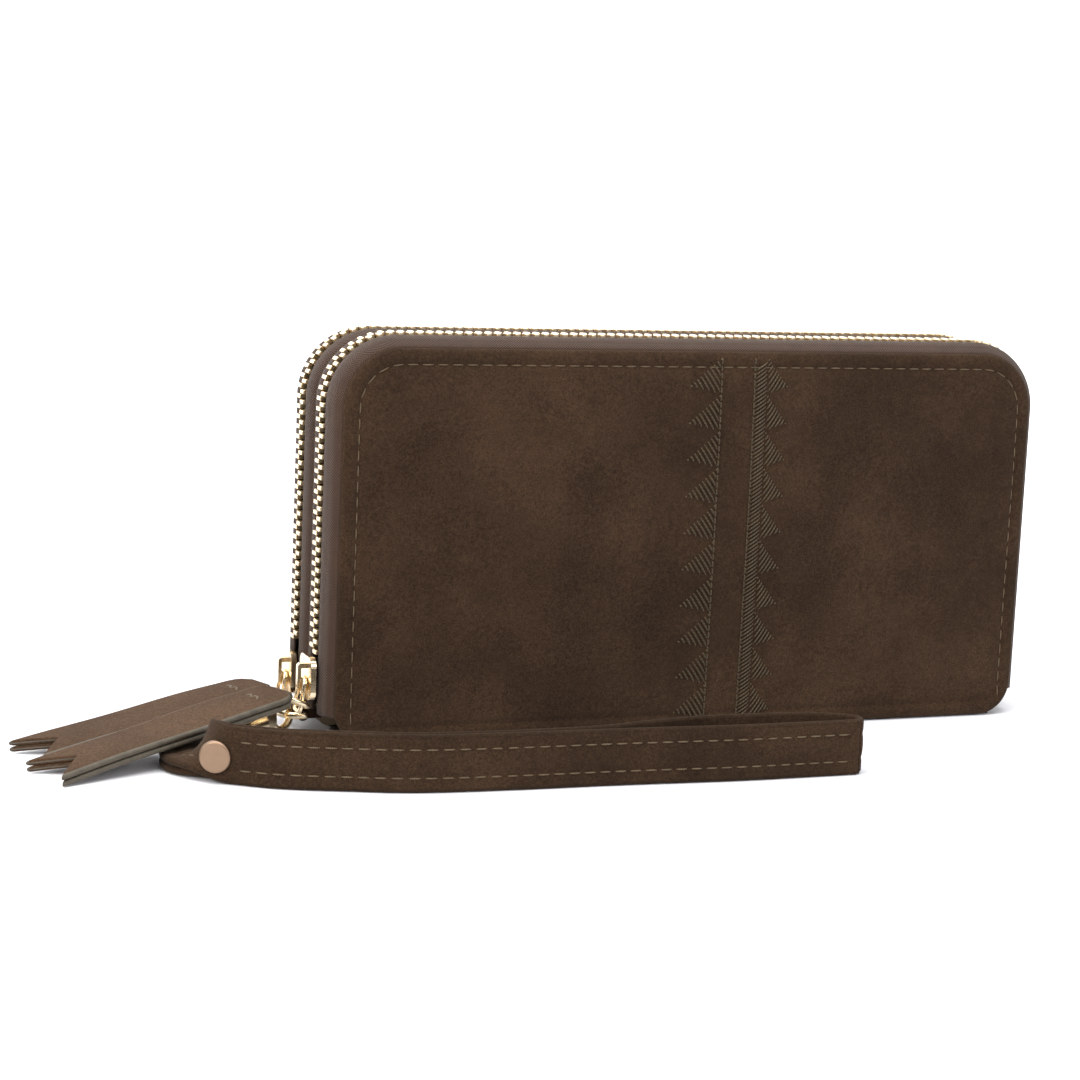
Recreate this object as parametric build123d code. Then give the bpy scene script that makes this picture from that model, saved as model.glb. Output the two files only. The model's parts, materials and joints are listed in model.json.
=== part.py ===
from build123d import *
import math
import os

# Double zip-around wristlet wallet. Millimetres, +Z up, the front faces -Y, +X is to the front's right.
# The origin is the centre of the underside of the base, on the surface that the wallet stands on.

# Driving dimensions
WIDTH = 195.0
HEIGHT = 100.0
HALF_DEPTH = 19.0
TOP_RADIUS = 15.0
FOOT_RADIUS = 9.0

SUEDE = 1.0
BOARD = 1.2
LINING = 0.6
TAPE = 0.7
TAPE_BORDER = 5.6
TAPE_CREST = 2.8
TAPE_CLEAR = 0.1
BOARD_INSET = 6.2
LINING_INSET = 1.6

BASE_TOP = 1.4
BASE_HALF_DEPTH = 16.6
COVER_FOOT = 0.3
RUN_FOOT = 7.0

ZIP_DEPTH = 9.0
TOOTH_PITCH = 2.6
TOOTH_LENGTH = 1.3
TOOTH_THICK = 2.0
TOOTH_REACH = 2.45
ROW_GAP = 1.2
TEETH_OUT = 2.4

SLIDER_FOOT = 10.5
SLIDER_LENGTH = 11.0
SLIDER_WIDTH = 10.4

POCKET = 0.8
CARD_SLOTS = 4
CARD_STEP = 11.0
CARD_TOP = 62.0

TAB_LENGTH = 68.5
TAB_WIDTH = 16.0
TAB_PLY = 1.4
TAB_NOTCH = 9.5
TAB_MARGIN = 0.8

STRAP_HEIGHT = 14.0
STRAP_PLY = 2.0
RIVET_RADIUS = 3.9

# Values worked out from them
OUT_FRONT = -HALF_DEPTH
SHELL_IN = OUT_FRONT + SUEDE
BOARD_IN = SHELL_IN + BOARD
LINING_IN = BOARD_IN + LINING
DIVIDER_CORE = BOARD / 2
DIVIDER_FACE = 2.3
TEETH_FOOT = SLIDER_FOOT + SLIDER_LENGTH + 1.0
CORNER_Z = HEIGHT - TOP_RADIUS
CORNER_X = WIDTH / 2 - TOP_RADIUS


def save(name, *pieces):
    """Write one node: its solids side by side in one file."""
    solids = [solid for piece in pieces for solid in piece.solids()]
    export_step(Compound(children=solids), f"parts/{name}.step")


def mirrored(piece):
    """The same piece on the other side of the divider."""
    return mirror(piece, about=Plane.XZ)


def outline(inset=0.0, foot=COVER_FOOT, foot_radius=FOOT_RADIUS):
    """Panel outline in X and Z, drawn in a sketch's X and Y: large top corners, smaller lower ones."""
    height = HEIGHT - inset - foot - inset
    panel = Pos(0, foot + inset + height / 2) * Rectangle(WIDTH - 2 * inset, height)
    panel = fillet(panel.vertices().group_by(Axis.Y)[-1], TOP_RADIUS - inset)
    return fillet(panel.vertices().group_by(Axis.Y)[0], max(foot_radius - inset, 1.0))


def slab(sketch, y_low, y_high):
    """A sketch of X and Z made a flat piece between two depths."""
    return extrude(Pos(0, y_high, 0) * (Plane.XZ * sketch), amount=y_high - y_low, dir=(0, -1, 0))


def box(x_low, x_high, y_low, y_high, z_low, z_high):
    """A block between two corners."""
    size = (x_high - x_low, y_high - y_low, z_high - z_low)
    middle = Pos((x_low + x_high) / 2, (y_low + y_high) / 2, (z_low + z_high) / 2)
    return middle * Box(*size)


def round_run(section, foot=RUN_FOOT):
    """Carry a closed section of (outward, depth) points up the left side, over the top and down the right.

    Outward is measured from the panel's edge, so the corners are turned about the panel's own centres.
    The five stretches stay separate solids that meet face to face.
    """
    flat = [(-WIDTH / 2 - out, depth) for out, depth in section]
    side_face = make_face(Polyline([(x, y, foot) for x, y in flat], close=True))
    side = extrude(side_face, amount=CORNER_Z - foot, dir=(0, 0, 1))
    turn_face = make_face(Polyline([(x, y, CORNER_Z) for x, y in flat], close=True))
    turn = revolve(turn_face, Axis((-CORNER_X, 0, CORNER_Z), (0, 1, 0)), 90)
    over = [(-CORNER_X, depth, HEIGHT + out) for out, depth in section]
    top = extrude(make_face(Polyline(over, close=True)), amount=CORNER_X, dir=(1, 0, 0))
    whole_top = top + mirror(top, about=Plane.YZ)
    return [side, turn, whole_top, mirror(turn, about=Plane.YZ), mirror(side, about=Plane.YZ)]


def outer_tape():
    """Zip tape: a flat border sewn behind the front shell, and a strip that rolls out to the teeth."""
    y = SHELL_IN
    edge = -ZIP_DEPTH - ROW_GAP / 2 - TOOTH_REACH - TAPE_CLEAR
    border = [(-TAPE_BORDER, y), (0.2, y), (0.2, y + TAPE), (-TAPE_BORDER, y + TAPE)]
    rolled = [
        (0.2, y), (0.4, y), (1.3, y + 0.5), (2.6, y + 3.4), (TAPE_CREST, edge),
        (TAPE_CREST - TAPE, edge), (1.9, y + 3.6), (0.9, y + 1.0), (0.2, y + TAPE),
    ]
    return round_run(border) + round_run(rolled)


def inner_tape():
    """Zip tape: a flat border sewn to the divider's face, and a strip that rolls out to the teeth."""
    y = -DIVIDER_FACE - TAPE_CLEAR
    edge = -ZIP_DEPTH + ROW_GAP / 2 + TOOTH_REACH + TAPE_CLEAR
    border = [(-TAPE_BORDER, y), (0.4, y), (0.4, y - TAPE), (-TAPE_BORDER, y - TAPE)]
    rolled = [
        (0.4, y), (0.6, y), (1.7, y - 0.4), (TAPE_CREST, y - 2.0), (TAPE_CREST, edge),
        (TAPE_CREST - TAPE, edge), (TAPE_CREST - TAPE, y - 1.9), (1.3, y - 1.1), (0.4, y - TAPE),
    ]
    return round_run(border) + round_run(rolled)


def tooth_row(depth_low, depth_high, phase):
    """Metal teeth at an even pitch along the run, each one block clamped on the tape's edge."""
    radius = TOP_RADIUS + TEETH_OUT
    tooth = Box(TOOTH_THICK, depth_high - depth_low, TOOTH_LENGTH)
    depth = (depth_low + depth_high) / 2
    side = CORNER_Z - TEETH_FOOT
    turn = radius * math.pi / 2
    over = 2 * CORNER_X
    far_side = CORNER_Z - RUN_FOOT
    total = side + turn + over + turn + far_side
    teeth = []
    for step in range(int((total - phase) / TOOTH_PITCH)):
        along = phase + step * TOOTH_PITCH
        if along < side:
            place = Pos(-WIDTH / 2 - TEETH_OUT, depth, TEETH_FOOT + along)
        elif along < side + turn:
            angle = math.degrees((along - side) / radius)
            place = Pos(-CORNER_X, depth, CORNER_Z) * Rot(0, angle, 0) * Pos(-radius, 0, 0)
        elif along < side + turn + over:
            place = Pos(-CORNER_X + along - side - turn, depth, HEIGHT + TEETH_OUT) * Rot(0, 90, 0)
        elif along < side + 2 * turn + over:
            angle = 90 + math.degrees((along - side - turn - over) / radius)
            place = Pos(CORNER_X, depth, CORNER_Z) * Rot(0, angle, 0) * Pos(-radius, 0, 0)
        else:
            drop = along - side - 2 * turn - over
            place = Pos(WIDTH / 2 + TEETH_OUT, depth, CORNER_Z - drop)
        teeth.append(place * tooth)
    return teeth


def front_cover():
    """Front cover: suede shell, stiffener, lining with its zip tape and teeth, card slots, embroidery."""
    shell = slab(outline(), OUT_FRONT, SHELL_IN)
    board = slab(outline(BOARD_INSET), SHELL_IN, BOARD_IN)
    lining = slab(outline(LINING_INSET), BOARD_IN, LINING_IN)
    row_end = -ZIP_DEPTH - ROW_GAP / 2
    teeth = tooth_row(row_end - TOOTH_REACH, row_end, TOOTH_PITCH / 2)
    return shell, board, lining, outer_tape(), teeth


def card_slots():
    """Stepped card slots on a cover's lining: each panel stands lower than the one behind it."""
    slots = []
    for number in range(CARD_SLOTS):
        y_low = LINING_IN + number * 0.75
        top = CARD_TOP - number * CARD_STEP
        slots.append(box(-54, 54, y_low + 0.1, y_low + 0.7, 9 + number * 0.5, top))
    return slots


def embroidery_column(x_base, side):
    """One column of raised thread fans: a narrow spine with triangles pointing to one side."""
    pitch = 9.6
    reach = 7.6
    thread = 0.35
    column = Pos(x_base - side * 0.6, HEIGHT / 2) * Rectangle(1.2, HEIGHT - 10)
    for number in range(9):
        top = HEIGHT - 6.5 - number * pitch
        fan = Polygon(
            (x_base, top), (x_base, top - pitch * 0.98), (x_base + side * reach, top - pitch * 0.75),
            align=None,
        )
        column += fan
    return slab(column, OUT_FRONT - thread, OUT_FRONT)


def divider():
    """Middle wall between the two compartments: board, two linings and a narrow base that joins it."""
    foot = BASE_TOP + 0.1
    board = slab(outline(2.0, foot - 2.0, 3.0), -DIVIDER_CORE, DIVIDER_CORE)
    lining = slab(outline(1.0, foot - 1.0, 3.0), -DIVIDER_FACE, -DIVIDER_CORE)
    base = box(-WIDTH / 2 + 5, WIDTH / 2 - 5, -BASE_HALF_DEPTH, BASE_HALF_DEPTH, 0, BASE_TOP - 0.6)
    base_lining = box(
        -WIDTH / 2 + 7, WIDTH / 2 - 7, -BASE_HALF_DEPTH + 1, BASE_HALF_DEPTH - 1, BASE_TOP - 0.6, BASE_TOP
    )
    return board, lining, base, base_lining


def gusset():
    """Folded side gusset in the front compartment: a vee of lining cloth, its fold pointing inwards."""
    x = WIDTH / 2 - 7.5
    y = -DIVIDER_FACE - 1.4
    vee = Polyline(
        [(x, y), (x - 14, y - 5.4), (x - 0.6, y - 10.2), (x - 0.6, y - 9.5), (x - 12, y - 5.4), (x, y - 0.7)],
        close=True,
    )
    return Pos(0, 0, BASE_TOP + 2) * extrude(make_face(vee), amount=74, dir=(0, 0, 1))


COIN_WALL = DIVIDER_FACE + 0.1
COIN_ZIP = COIN_WALL + 2.2
COIN_ZIP_Z = 68.0
COIN_TOOTH = 1.3


def coin_pocket():
    """Zipped coin pocket on the divider's rear face: pouch panel, welt panel, tape and teeth."""
    y = COIN_WALL
    pouch = box(-72, 72, y + 3.0, y + 3.0 + POCKET, 4, 62)
    pouch += box(-72, -70.5, y, y + 3.0, 4, 62) + box(70.5, 72, y, y + 3.0, 4, 62)
    pouch += box(-70.5, 70.5, y, y + 3.0, 4, 5.5)
    welt = box(-72, 72, y, y + POCKET, 74, 88)
    lower_tape = box(-70, 70, COIN_ZIP - 0.3, COIN_ZIP + 0.3, 62.3, COIN_ZIP_Z - 1.9)
    upper_tape = box(-70, 70, COIN_ZIP - 0.3, COIN_ZIP + 0.3, COIN_ZIP_Z + 1.9, 73.7)
    tooth = Box(TOOTH_LENGTH, 1.3, COIN_TOOTH)
    teeth = []
    for step in range(int(130 / TOOTH_PITCH)):
        x = -60.5 + step * TOOTH_PITCH
        teeth.append(Pos(x, COIN_ZIP, COIN_ZIP_Z - 0.5 - COIN_TOOTH / 2) * tooth)
        teeth.append(Pos(x + TOOTH_PITCH / 2, COIN_ZIP, COIN_ZIP_Z + 0.5 + COIN_TOOTH / 2) * tooth)
    return pouch, welt, lower_tape + upper_tape, teeth


def coin_runner():
    """Small slider on the coin pocket's zip with its own flat puller, which hangs in front of it."""
    x = -66.0
    front = box(x - 3.5, x + 3.5, COIN_ZIP + 1.0, COIN_ZIP + 1.8, COIN_ZIP_Z - 3.7, COIN_ZIP_Z + 3.7)
    back_side = box(x - 2.5, x + 2.5, COIN_ZIP - 1.5, COIN_ZIP - 1.0, COIN_ZIP_Z - 3, COIN_ZIP_Z + 3)
    post = box(x - 2.4, x - 1.2, COIN_ZIP - 1.1, COIN_ZIP + 1.1, COIN_ZIP_Z - 0.2, COIN_ZIP_Z + 0.2)
    lug = box(x - 0.8, x + 0.8, COIN_ZIP + 1.7, COIN_ZIP + 3.5, COIN_ZIP_Z - 0.6, COIN_ZIP_Z + 1.4)
    plate = Pos(0, -6.2) * RectangleRounded(4.4, 17.0, 1.5)
    plate -= Pos(0, 0) * RectangleRounded(2.6, 3.0, 0.6)
    puller = Pos(x, 0, COIN_ZIP_Z + 0.4) * slab(plate, COIN_ZIP + 2.3, COIN_ZIP + 3.1)
    return front + back_side + post + lug, puller


def zip_slider():
    """Front zip's slider: two plates joined by a thin post between the rows, and a crown for the puller."""
    x = -WIDTH / 2 - TEETH_OUT
    y_low = -ZIP_DEPTH - SLIDER_WIDTH / 2
    y_high = -ZIP_DEPTH + SLIDER_WIDTH / 2
    z_high = SLIDER_FOOT + SLIDER_LENGTH
    outer = box(x - 2.7, x - 1.3, y_low, y_high, SLIDER_FOOT, z_high)
    outer = fillet(outer.edges().filter_by(Axis.X), 2.4)
    inner = box(x + 1.3, x + 2.2, y_low + 0.6, y_high - 0.6, SLIDER_FOOT + 0.5, z_high - 0.5)
    inner = fillet(inner.edges().filter_by(Axis.X), 2.0)
    post = box(x - 1.4, x + 1.4, -ZIP_DEPTH - 0.3, -ZIP_DEPTH + 0.3, z_high - 3.4, z_high - 0.6)
    crown = box(x - 4.9, x - 2.6, -ZIP_DEPTH - 0.8, -ZIP_DEPTH + 0.8, SLIDER_FOOT + 2.0, z_high - 2.0)
    crown -= box(x - 4.0, x - 2.7, -ZIP_DEPTH - 1, -ZIP_DEPTH + 1, SLIDER_FOOT + 4.4, z_high - 3.2)
    crown = fillet(crown.edges().filter_by(Axis.Y).sort_by(Axis.X)[:2], 0.8)
    return outer + inner + post + crown


PULLER_AXIS = (-WIDTH / 2 - TEETH_OUT - 3.35, -ZIP_DEPTH, SLIDER_FOOT + 5.1)
PULLER_LENGTH = 9.4
PULLER_WIDTH = 6.2
PULLER_WIRE = 1.1
PULLER_LEAN = 8.0
RING_LINK = (PULLER_AXIS[0] - 1.0, PULLER_AXIS[1] - 2.1, 9.5)
RING_RADIUS = 4.2
RING_WIRE = 0.65
RING_TILT = 25.0


def zip_puller():
    """Loop of rounded rectangular shape through the crown, hanging down from it."""
    middle = Pos(0, (PULLER_WIRE - PULLER_LENGTH) / 2)
    wide = middle * RectangleRounded(PULLER_WIDTH, PULLER_LENGTH, 1.8)
    hole = middle * RectangleRounded(PULLER_WIDTH - 2 * PULLER_WIRE, PULLER_LENGTH - 2 * PULLER_WIRE, 0.8)
    loop = extrude(Plane.YZ * (wide - hole), amount=PULLER_WIRE / 2, both=True)
    faces = loop.faces().sort_by(Axis.X)
    loop = fillet(faces[0].edges() + faces[-1].edges(), 0.42)
    return Pos(*PULLER_AXIS) * Rot(0, PULLER_LEAN, 0) * loop


def along(heading, slope=0.0):
    """Unit vector in plan at a heading in degrees, tipped by a slope in degrees."""
    h = math.radians(heading)
    s = math.radians(slope)
    return Vector(math.cos(h) * math.cos(s), math.sin(h) * math.cos(s), math.sin(s))


def pull_ring(heading):
    """Round ring that links the puller's lower leg to the pull tab; it rises towards the tab."""
    reach = RING_RADIUS - RING_WIRE - PULLER_WIRE / 2 - 0.35
    centre = Vector(*RING_LINK) + along(heading, RING_TILT) * reach
    plane = Plane(origin=centre, x_dir=along(heading, RING_TILT), z_dir=along(heading, RING_TILT - 90) * -1)
    return plane.location * Torus(RING_RADIUS, RING_WIRE)


def tab_frame(heading, slope, roll, root):
    """The tab's own frame at its root: X along the tab, Y across it, Z through it."""
    x = along(heading, slope)
    flat_y = along(heading + 90)
    up = x.cross(flat_y)
    y = flat_y * math.cos(math.radians(roll)) + up * math.sin(math.radians(roll))
    return Plane(origin=root, x_dir=x, z_dir=x.cross(y))


def pull_tab(frame):
    """Folded suede tab of two plies, ending in a swallow-tail; a bar of thread holds the fold."""
    shape = Pos(TAB_LENGTH / 2, 0) * Rectangle(TAB_LENGTH, TAB_WIDTH)
    shape -= Polygon(
        (TAB_LENGTH + 0.1, -TAB_WIDTH / 2), (TAB_LENGTH + 0.1, TAB_WIDTH / 2), (TAB_LENGTH - TAB_NOTCH, 0),
        align=None,
    )
    shape -= Rectangle(6.4, 11.0)
    upper = Pos(0, 0, 0.1) * extrude(shape, amount=TAB_PLY)
    lower = Pos(0, 0, -0.1) * extrude(shape, amount=-TAB_PLY)
    fold = box(0.3, 2.2, -TAB_WIDTH / 2, -5.7, -0.5, 0.5) + box(0.3, 2.2, 5.7, TAB_WIDTH / 2, -0.5, 0.5)
    bar = box(7.0, 8.0, -3.6, 3.6, TAB_PLY + 0.1, TAB_PLY + 0.45)
    return frame.location * (upper + lower + fold), frame.location * bar


# The wrist strap's clasp hangs from a ring at the foot of the left side and lies under the pull tabs.
CLASP_HEADING = 214.0
CLASP_SLOPE = -4.1
RING_BAR = Vector(-101.4, 0, 5.0)
DEE_RADIUS = 5.6
DEE_WIRE = 0.9
HOOK_RADIUS = 3.5
HOOK_WIRE = 1.0
HOOK_CENTRE = Vector(-107.2, -3.9, 4.9)
BARREL_START = 7.6
BARREL_LENGTH = 6.4
BARREL_RADIUS = 2.7
EYE_BAR = 30.5
EYE_WIRE = 0.75
EYE_HALF = 8.6


def clasp_plane():
    """The clasp's own frame at the middle of its hook: X towards the strap, Z close to upright."""
    x = along(CLASP_HEADING, CLASP_SLOPE)
    y = along(CLASP_HEADING + 90)
    return Plane(origin=HOOK_CENTRE, x_dir=x, z_dir=x.cross(y))


def ring_tab():
    """Suede loop sewn to the divider's edge that holds the ring's straight bar."""
    x = RING_BAR.X
    loop = Pos(x, 0, RING_BAR.Z) * Rot(90, 0, 0) * Cylinder(1.7, 8.0)
    leaf = box(x, -WIDTH / 2 + 0.9, -4.0, 4.0, RING_BAR.Z - 1.1, RING_BAR.Z + 1.1)
    hole = Pos(x, 0, RING_BAR.Z) * Rot(90, 0, 0) * Cylinder(1.15, 12.0)
    return loop + leaf - hole


def d_ring():
    """D-shaped ring: straight bar in the loop, round bow outside it."""
    bar = Pos(*RING_BAR) * Rot(90, 0, 0) * Cylinder(DEE_WIRE, 2 * DEE_RADIUS)
    bow = Pos(*RING_BAR) * Torus(DEE_RADIUS, DEE_WIRE)
    bow &= box(RING_BAR.X - 9, RING_BAR.X, -9, 9, RING_BAR.Z - 2, RING_BAR.Z + 2)
    tips = [Pos(RING_BAR.X, side * DEE_RADIUS, RING_BAR.Z) * Sphere(DEE_WIRE) for side in (-1, 1)]
    return bar + bow + tips[0] + tips[1]


def clasp():
    """Trigger clasp: hook with a gate, a swivel barrel, and the strap's eye on its stem."""
    hook = Rot(90, 0, 0) * Torus(HOOK_RADIUS, HOOK_WIRE)
    gap = box(-2.2, 2.2, -2, 2, 1.2, 6.0)
    hook -= gap
    neck = Pos((HOOK_RADIUS + BARREL_START) / 2, 0, 0) * Box(BARREL_START - HOOK_RADIUS + 0.4, 3.0, 3.4)
    barrel = Pos(BARREL_START + BARREL_LENGTH / 2, 0, 0) * Rot(0, 90, 0) * Cylinder(BARREL_RADIUS, BARREL_LENGTH)
    bore = Pos(BARREL_START + BARREL_LENGTH - 1.5, 0, 0) * Rot(0, 90, 0) * Cylinder(1.3, 4.2)
    head_room = Pos(BARREL_START + BARREL_LENGTH - 4.0, 0, 0) * Rot(0, 90, 0) * Cylinder(2.1, 2.0)
    body = hook + neck + barrel - bore - head_room
    gate = Rot(90, 0, 0) * Torus(HOOK_RADIUS, 0.8)
    gate &= box(-1.9, 1.5, -2, 2, 2.0, 6.0)
    thumb = Pos(0, 0, HOOK_RADIUS + 0.7) * Box(1.6, 1.1, 0.8)
    stem_end = BARREL_START + BARREL_LENGTH + 2.2
    stem_start = BARREL_START + BARREL_LENGTH - 3.2
    stem = Pos((stem_start + stem_end) / 2, 0, 0) * Rot(0, 90, 0) * Cylinder(1.05, stem_end - stem_start)
    head = Pos(BARREL_START + BARREL_LENGTH - 4.0, 0, 0) * Rot(0, 90, 0) * Cylinder(1.7, 1.4)
    frame = Polyline(
        [(stem_end - 1, 0), (stem_end + 1.4, EYE_HALF - 2.6), (EYE_BAR, EYE_HALF), (EYE_BAR, -EYE_HALF),
         (stem_end + 1.4, -EYE_HALF + 2.6)],
        close=True,
    )
    eye = stem + head
    for edge in frame.edges():
        run = edge.length
        place = Plane(origin=edge @ 0, z_dir=edge % 0)
        eye += place * (Pos(0, 0, run / 2) * Cylinder(EYE_WIRE, run))
        eye += Pos(*(edge @ 0)) * Sphere(EYE_WIRE)
    place = clasp_plane().location
    return place * body, place * (gate + thumb), place * eye


DOUBLE_LINE = [
    (-140.2, -26.6), (-144.2, -36.2), (-139.8, -43.2), (-121.0, -55.2), (-90.0, -65.2), (-58.0, -67.8),
]
FRONT_LINE = [(-66.0, -68.25), (-41.0, -69.2), (-12.0, -71.2), (21.5, -71.6)]
BACK_LINE = [
    (-66.0, -66.05), (-46.0, -65.6), (-18.0, -60.6), (5.0, -61.0), (22.6, -66.8), (21.5, -71.6),
]
RIVET_PLACE = Vector(-134.2, -46.8, 6.6)
RIVET_TURN = -32.5


def tab_shadow(frame):
    """The space that a pull tab needs: its outline with a margin, from just below it upwards."""
    shape = Pos(TAB_LENGTH / 2, 0) * Rectangle(TAB_LENGTH + 6, TAB_WIDTH + 2 * TAB_MARGIN)
    return frame.location * (Pos(0, 0, -TAB_PLY - 0.8) * extrude(shape, amount=30))


def strap(tab_frames):
    """Closed loop of suede strap standing on its long edge, its end pressed low under the pull tabs.

    It is in two stretches that meet face to face: under the front pull tab, and beside it.
    """
    double = trace(FilletPolyline(*DOUBLE_LINE, radius=[5.0, 9.0, 40.0, 80.0]), line_width=2 * STRAP_PLY + 0.2)
    front = trace(FilletPolyline(*FRONT_LINE, radius=[120.0, 120.0]), line_width=STRAP_PLY)
    back = trace(FilletPolyline(*BACK_LINE, radius=[60.0, 40.0, 25.0, 2.6]), line_width=STRAP_PLY)
    standing = extrude(double + front + back, amount=STRAP_HEIGHT)
    slope = Polyline([(-165, 0, 4.6), (-146, 0, 4.6), (-131, 0, 14.2), (-131, 0, 30), (-165, 0, 30)], close=True)
    standing -= extrude(make_face(slope), amount=90, dir=(0, -1, 0))
    loop = standing + eye_sleeve()
    for frame in tab_frames:
        loop -= tab_shadow(frame)
    loop -= rivet_place() * Cylinder(1.5, 8)
    beside = tab_frames[0].location * box(-60, 260, TAB_WIDTH / 2 + TAB_MARGIN, 160, -160, 160)
    return loop - beside, loop & beside


def eye_sleeve():
    """The strap's end lying flat round the eye's bar."""
    centre = clasp_plane().location * Pos(EYE_BAR, 0, 0)
    sleeve = centre * (Rot(90, 0, 0) * Cylinder(EYE_WIRE + 0.3 + 1.5, STRAP_HEIGHT))
    leaf = centre * (Pos(5.9, 0, 0) * Box(11.8, STRAP_HEIGHT, 3.4))
    hole = centre * (Rot(90, 0, 0) * Cylinder(EYE_WIRE + 0.3, STRAP_HEIGHT + 2))
    return sleeve + leaf - hole


def rivet_place():
    """The rivet's own frame: its axis is square to the strap's face."""
    return Pos(*RIVET_PLACE) * Rot(0, 0, RIVET_TURN) * Rot(90, 0, 0)


def rivet():
    """Double-cap rivet through both plies: shank and a low domed cap on each face."""
    shank = Cylinder(1.45, 2 * STRAP_PLY + 1.0)
    half = STRAP_PLY + 0.15
    cap = Pos(0, 0, half + 0.45) * Cylinder(RIVET_RADIUS, 0.9)
    cap = fillet(cap.edges().sort_by(Axis.Z)[-1], 0.6)
    return rivet_place() * (shank + cap + mirror(cap, about=Plane.XY))


os.makedirs("parts", exist_ok=True)

shell, board, lining, tape, teeth = front_cover()
for side, turned in (("front", lambda piece: piece), ("rear", mirrored)):
    save(f"{side}_shell", turned(shell))
    save(f"{side}_board", turned(board))
    save(f"{side}_lining", turned(lining))
    save(f"{side}_zip_tape_outer", *[turned(stretch) for stretch in tape])
    save(f"{side}_zip_teeth_outer", *[turned(tooth) for tooth in teeth])
    for number, slot in enumerate(card_slots()):
        save(f"{side}_card_slot_{number + 1}", turned(slot))
save("embroidery_left", embroidery_column(4.5, -1))
save("embroidery_right", embroidery_column(14.0, 1))

divider_board, divider_lining, base, base_lining = divider()
row_start = -ZIP_DEPTH + ROW_GAP / 2
inner_teeth = tooth_row(row_start, row_start + TOOTH_REACH, 0.0)
tape_in = inner_tape()
save("divider_board", divider_board)
save("base_panel", base)
save("base_lining", base_lining)
for side, turned in (("front", lambda piece: piece), ("rear", mirrored)):
    save(f"divider_lining_{side}", turned(divider_lining))
    save(f"{side}_zip_tape_inner", *[turned(stretch) for stretch in tape_in])
    save(f"{side}_zip_teeth_inner", *[turned(tooth) for tooth in inner_teeth])
    save(f"{side}_gusset_right", turned(gusset()))
    save(f"{side}_gusset_left", turned(mirror(gusset(), about=Plane.YZ)))
save("rear_slip_pocket", mirrored(box(-70, 70, LINING_IN + 3.05, LINING_IN + 3.55, 7, 78)))
save("bill_pocket", box(-82, 82, -DIVIDER_FACE - 0.9, -DIVIDER_FACE - 0.1, 3, 70))
pouch, welt, coin_tape, coin_teeth = coin_pocket()
save("coin_pocket_pouch", pouch)
save("coin_pocket_welt", welt)
save("coin_zip_tape", coin_tape)
save("coin_zip_teeth", *coin_teeth)
coin_slider, coin_puller = coin_runner()
save("coin_slider", coin_slider)
save("coin_puller", coin_puller)

RING_HEADING = {"front": 201.0, "rear": 192.0}
TAB_HEADING = {"front": 201.0, "rear": 200.5}
TAB_SLOPE = {"front": -9.0, "rear": -7.0}
TAB_ROLL = {"front": 0.0, "rear": 0.0}
SIDE_SHIFT = {"front": Vector(0, 0, 0), "rear": Vector(0, 2 * ZIP_DEPTH, -2.2)}
frames = []
for side in ("front", "rear"):
    shift = Pos(*SIDE_SHIFT[side])
    save(f"{side}_slider", shift * zip_slider())
    save(f"{side}_puller", shift * zip_puller())
    save(f"{side}_pull_ring", shift * pull_ring(RING_HEADING[side]))
    reach = along(RING_HEADING[side], RING_TILT) * (2 * RING_RADIUS - 1.1)
    root = Vector(*RING_LINK) + reach + SIDE_SHIFT[side]
    frames.append(tab_frame(TAB_HEADING[side], TAB_SLOPE[side], TAB_ROLL[side], root))
    tab, bar = pull_tab(frames[-1])
    save(f"{side}_pull_tab", tab)
    save(f"{side}_tab_bartack", bar)

save("ring_tab", ring_tab())
save("d_ring", d_ring())
clasp_body, clasp_gate, clasp_eye = clasp()
save("clasp_body", clasp_body)
save("clasp_gate", clasp_gate)
save("clasp_eye", clasp_eye)
save("wrist_strap", *strap(frames))
save("strap_rivet", rivet())
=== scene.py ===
"""Suede zip-around wristlet wallet: the soft goods and finishes, built round its CAD frame."""

import json
import math

import bmesh
import bpy
import numpy as np
from bpy.props import FloatProperty, FloatVectorProperty, IntProperty, PointerProperty
from mathutils import Matrix, Vector


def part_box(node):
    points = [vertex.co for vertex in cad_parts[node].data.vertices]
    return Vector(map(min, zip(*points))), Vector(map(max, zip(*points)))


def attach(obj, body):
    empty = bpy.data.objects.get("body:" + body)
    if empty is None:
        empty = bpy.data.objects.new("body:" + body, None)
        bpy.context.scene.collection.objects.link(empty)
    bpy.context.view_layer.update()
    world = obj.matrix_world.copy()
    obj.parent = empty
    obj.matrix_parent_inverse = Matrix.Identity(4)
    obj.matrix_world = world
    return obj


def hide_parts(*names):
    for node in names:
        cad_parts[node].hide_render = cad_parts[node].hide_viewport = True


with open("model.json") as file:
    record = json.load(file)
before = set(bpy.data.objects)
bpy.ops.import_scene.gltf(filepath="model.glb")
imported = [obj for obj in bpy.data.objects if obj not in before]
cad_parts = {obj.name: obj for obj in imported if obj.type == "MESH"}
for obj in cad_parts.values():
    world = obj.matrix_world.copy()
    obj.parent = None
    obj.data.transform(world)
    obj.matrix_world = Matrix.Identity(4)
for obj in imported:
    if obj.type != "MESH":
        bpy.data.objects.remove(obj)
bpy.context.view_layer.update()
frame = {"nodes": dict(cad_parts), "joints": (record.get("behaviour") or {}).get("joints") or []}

bl_info = {
    "name": "Suede wristlet wallet",
    "version": (1, 0, 0),
    "blender": (4, 5, 0),
    "location": "View3D > Sidebar > Wallet",
    "description": "Builds the suede, zips, thread and metal of a zip-around wristlet wallet",
    "category": "Object",
}

# Every shape below is worked out in millimetres and written to its mesh in metres.
MM = 0.001


def cad_box(node):
    """A CAD node's lowest and highest corner, in millimetres."""
    low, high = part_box(node)
    return np.array(low) / MM, np.array(high) / MM


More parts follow.
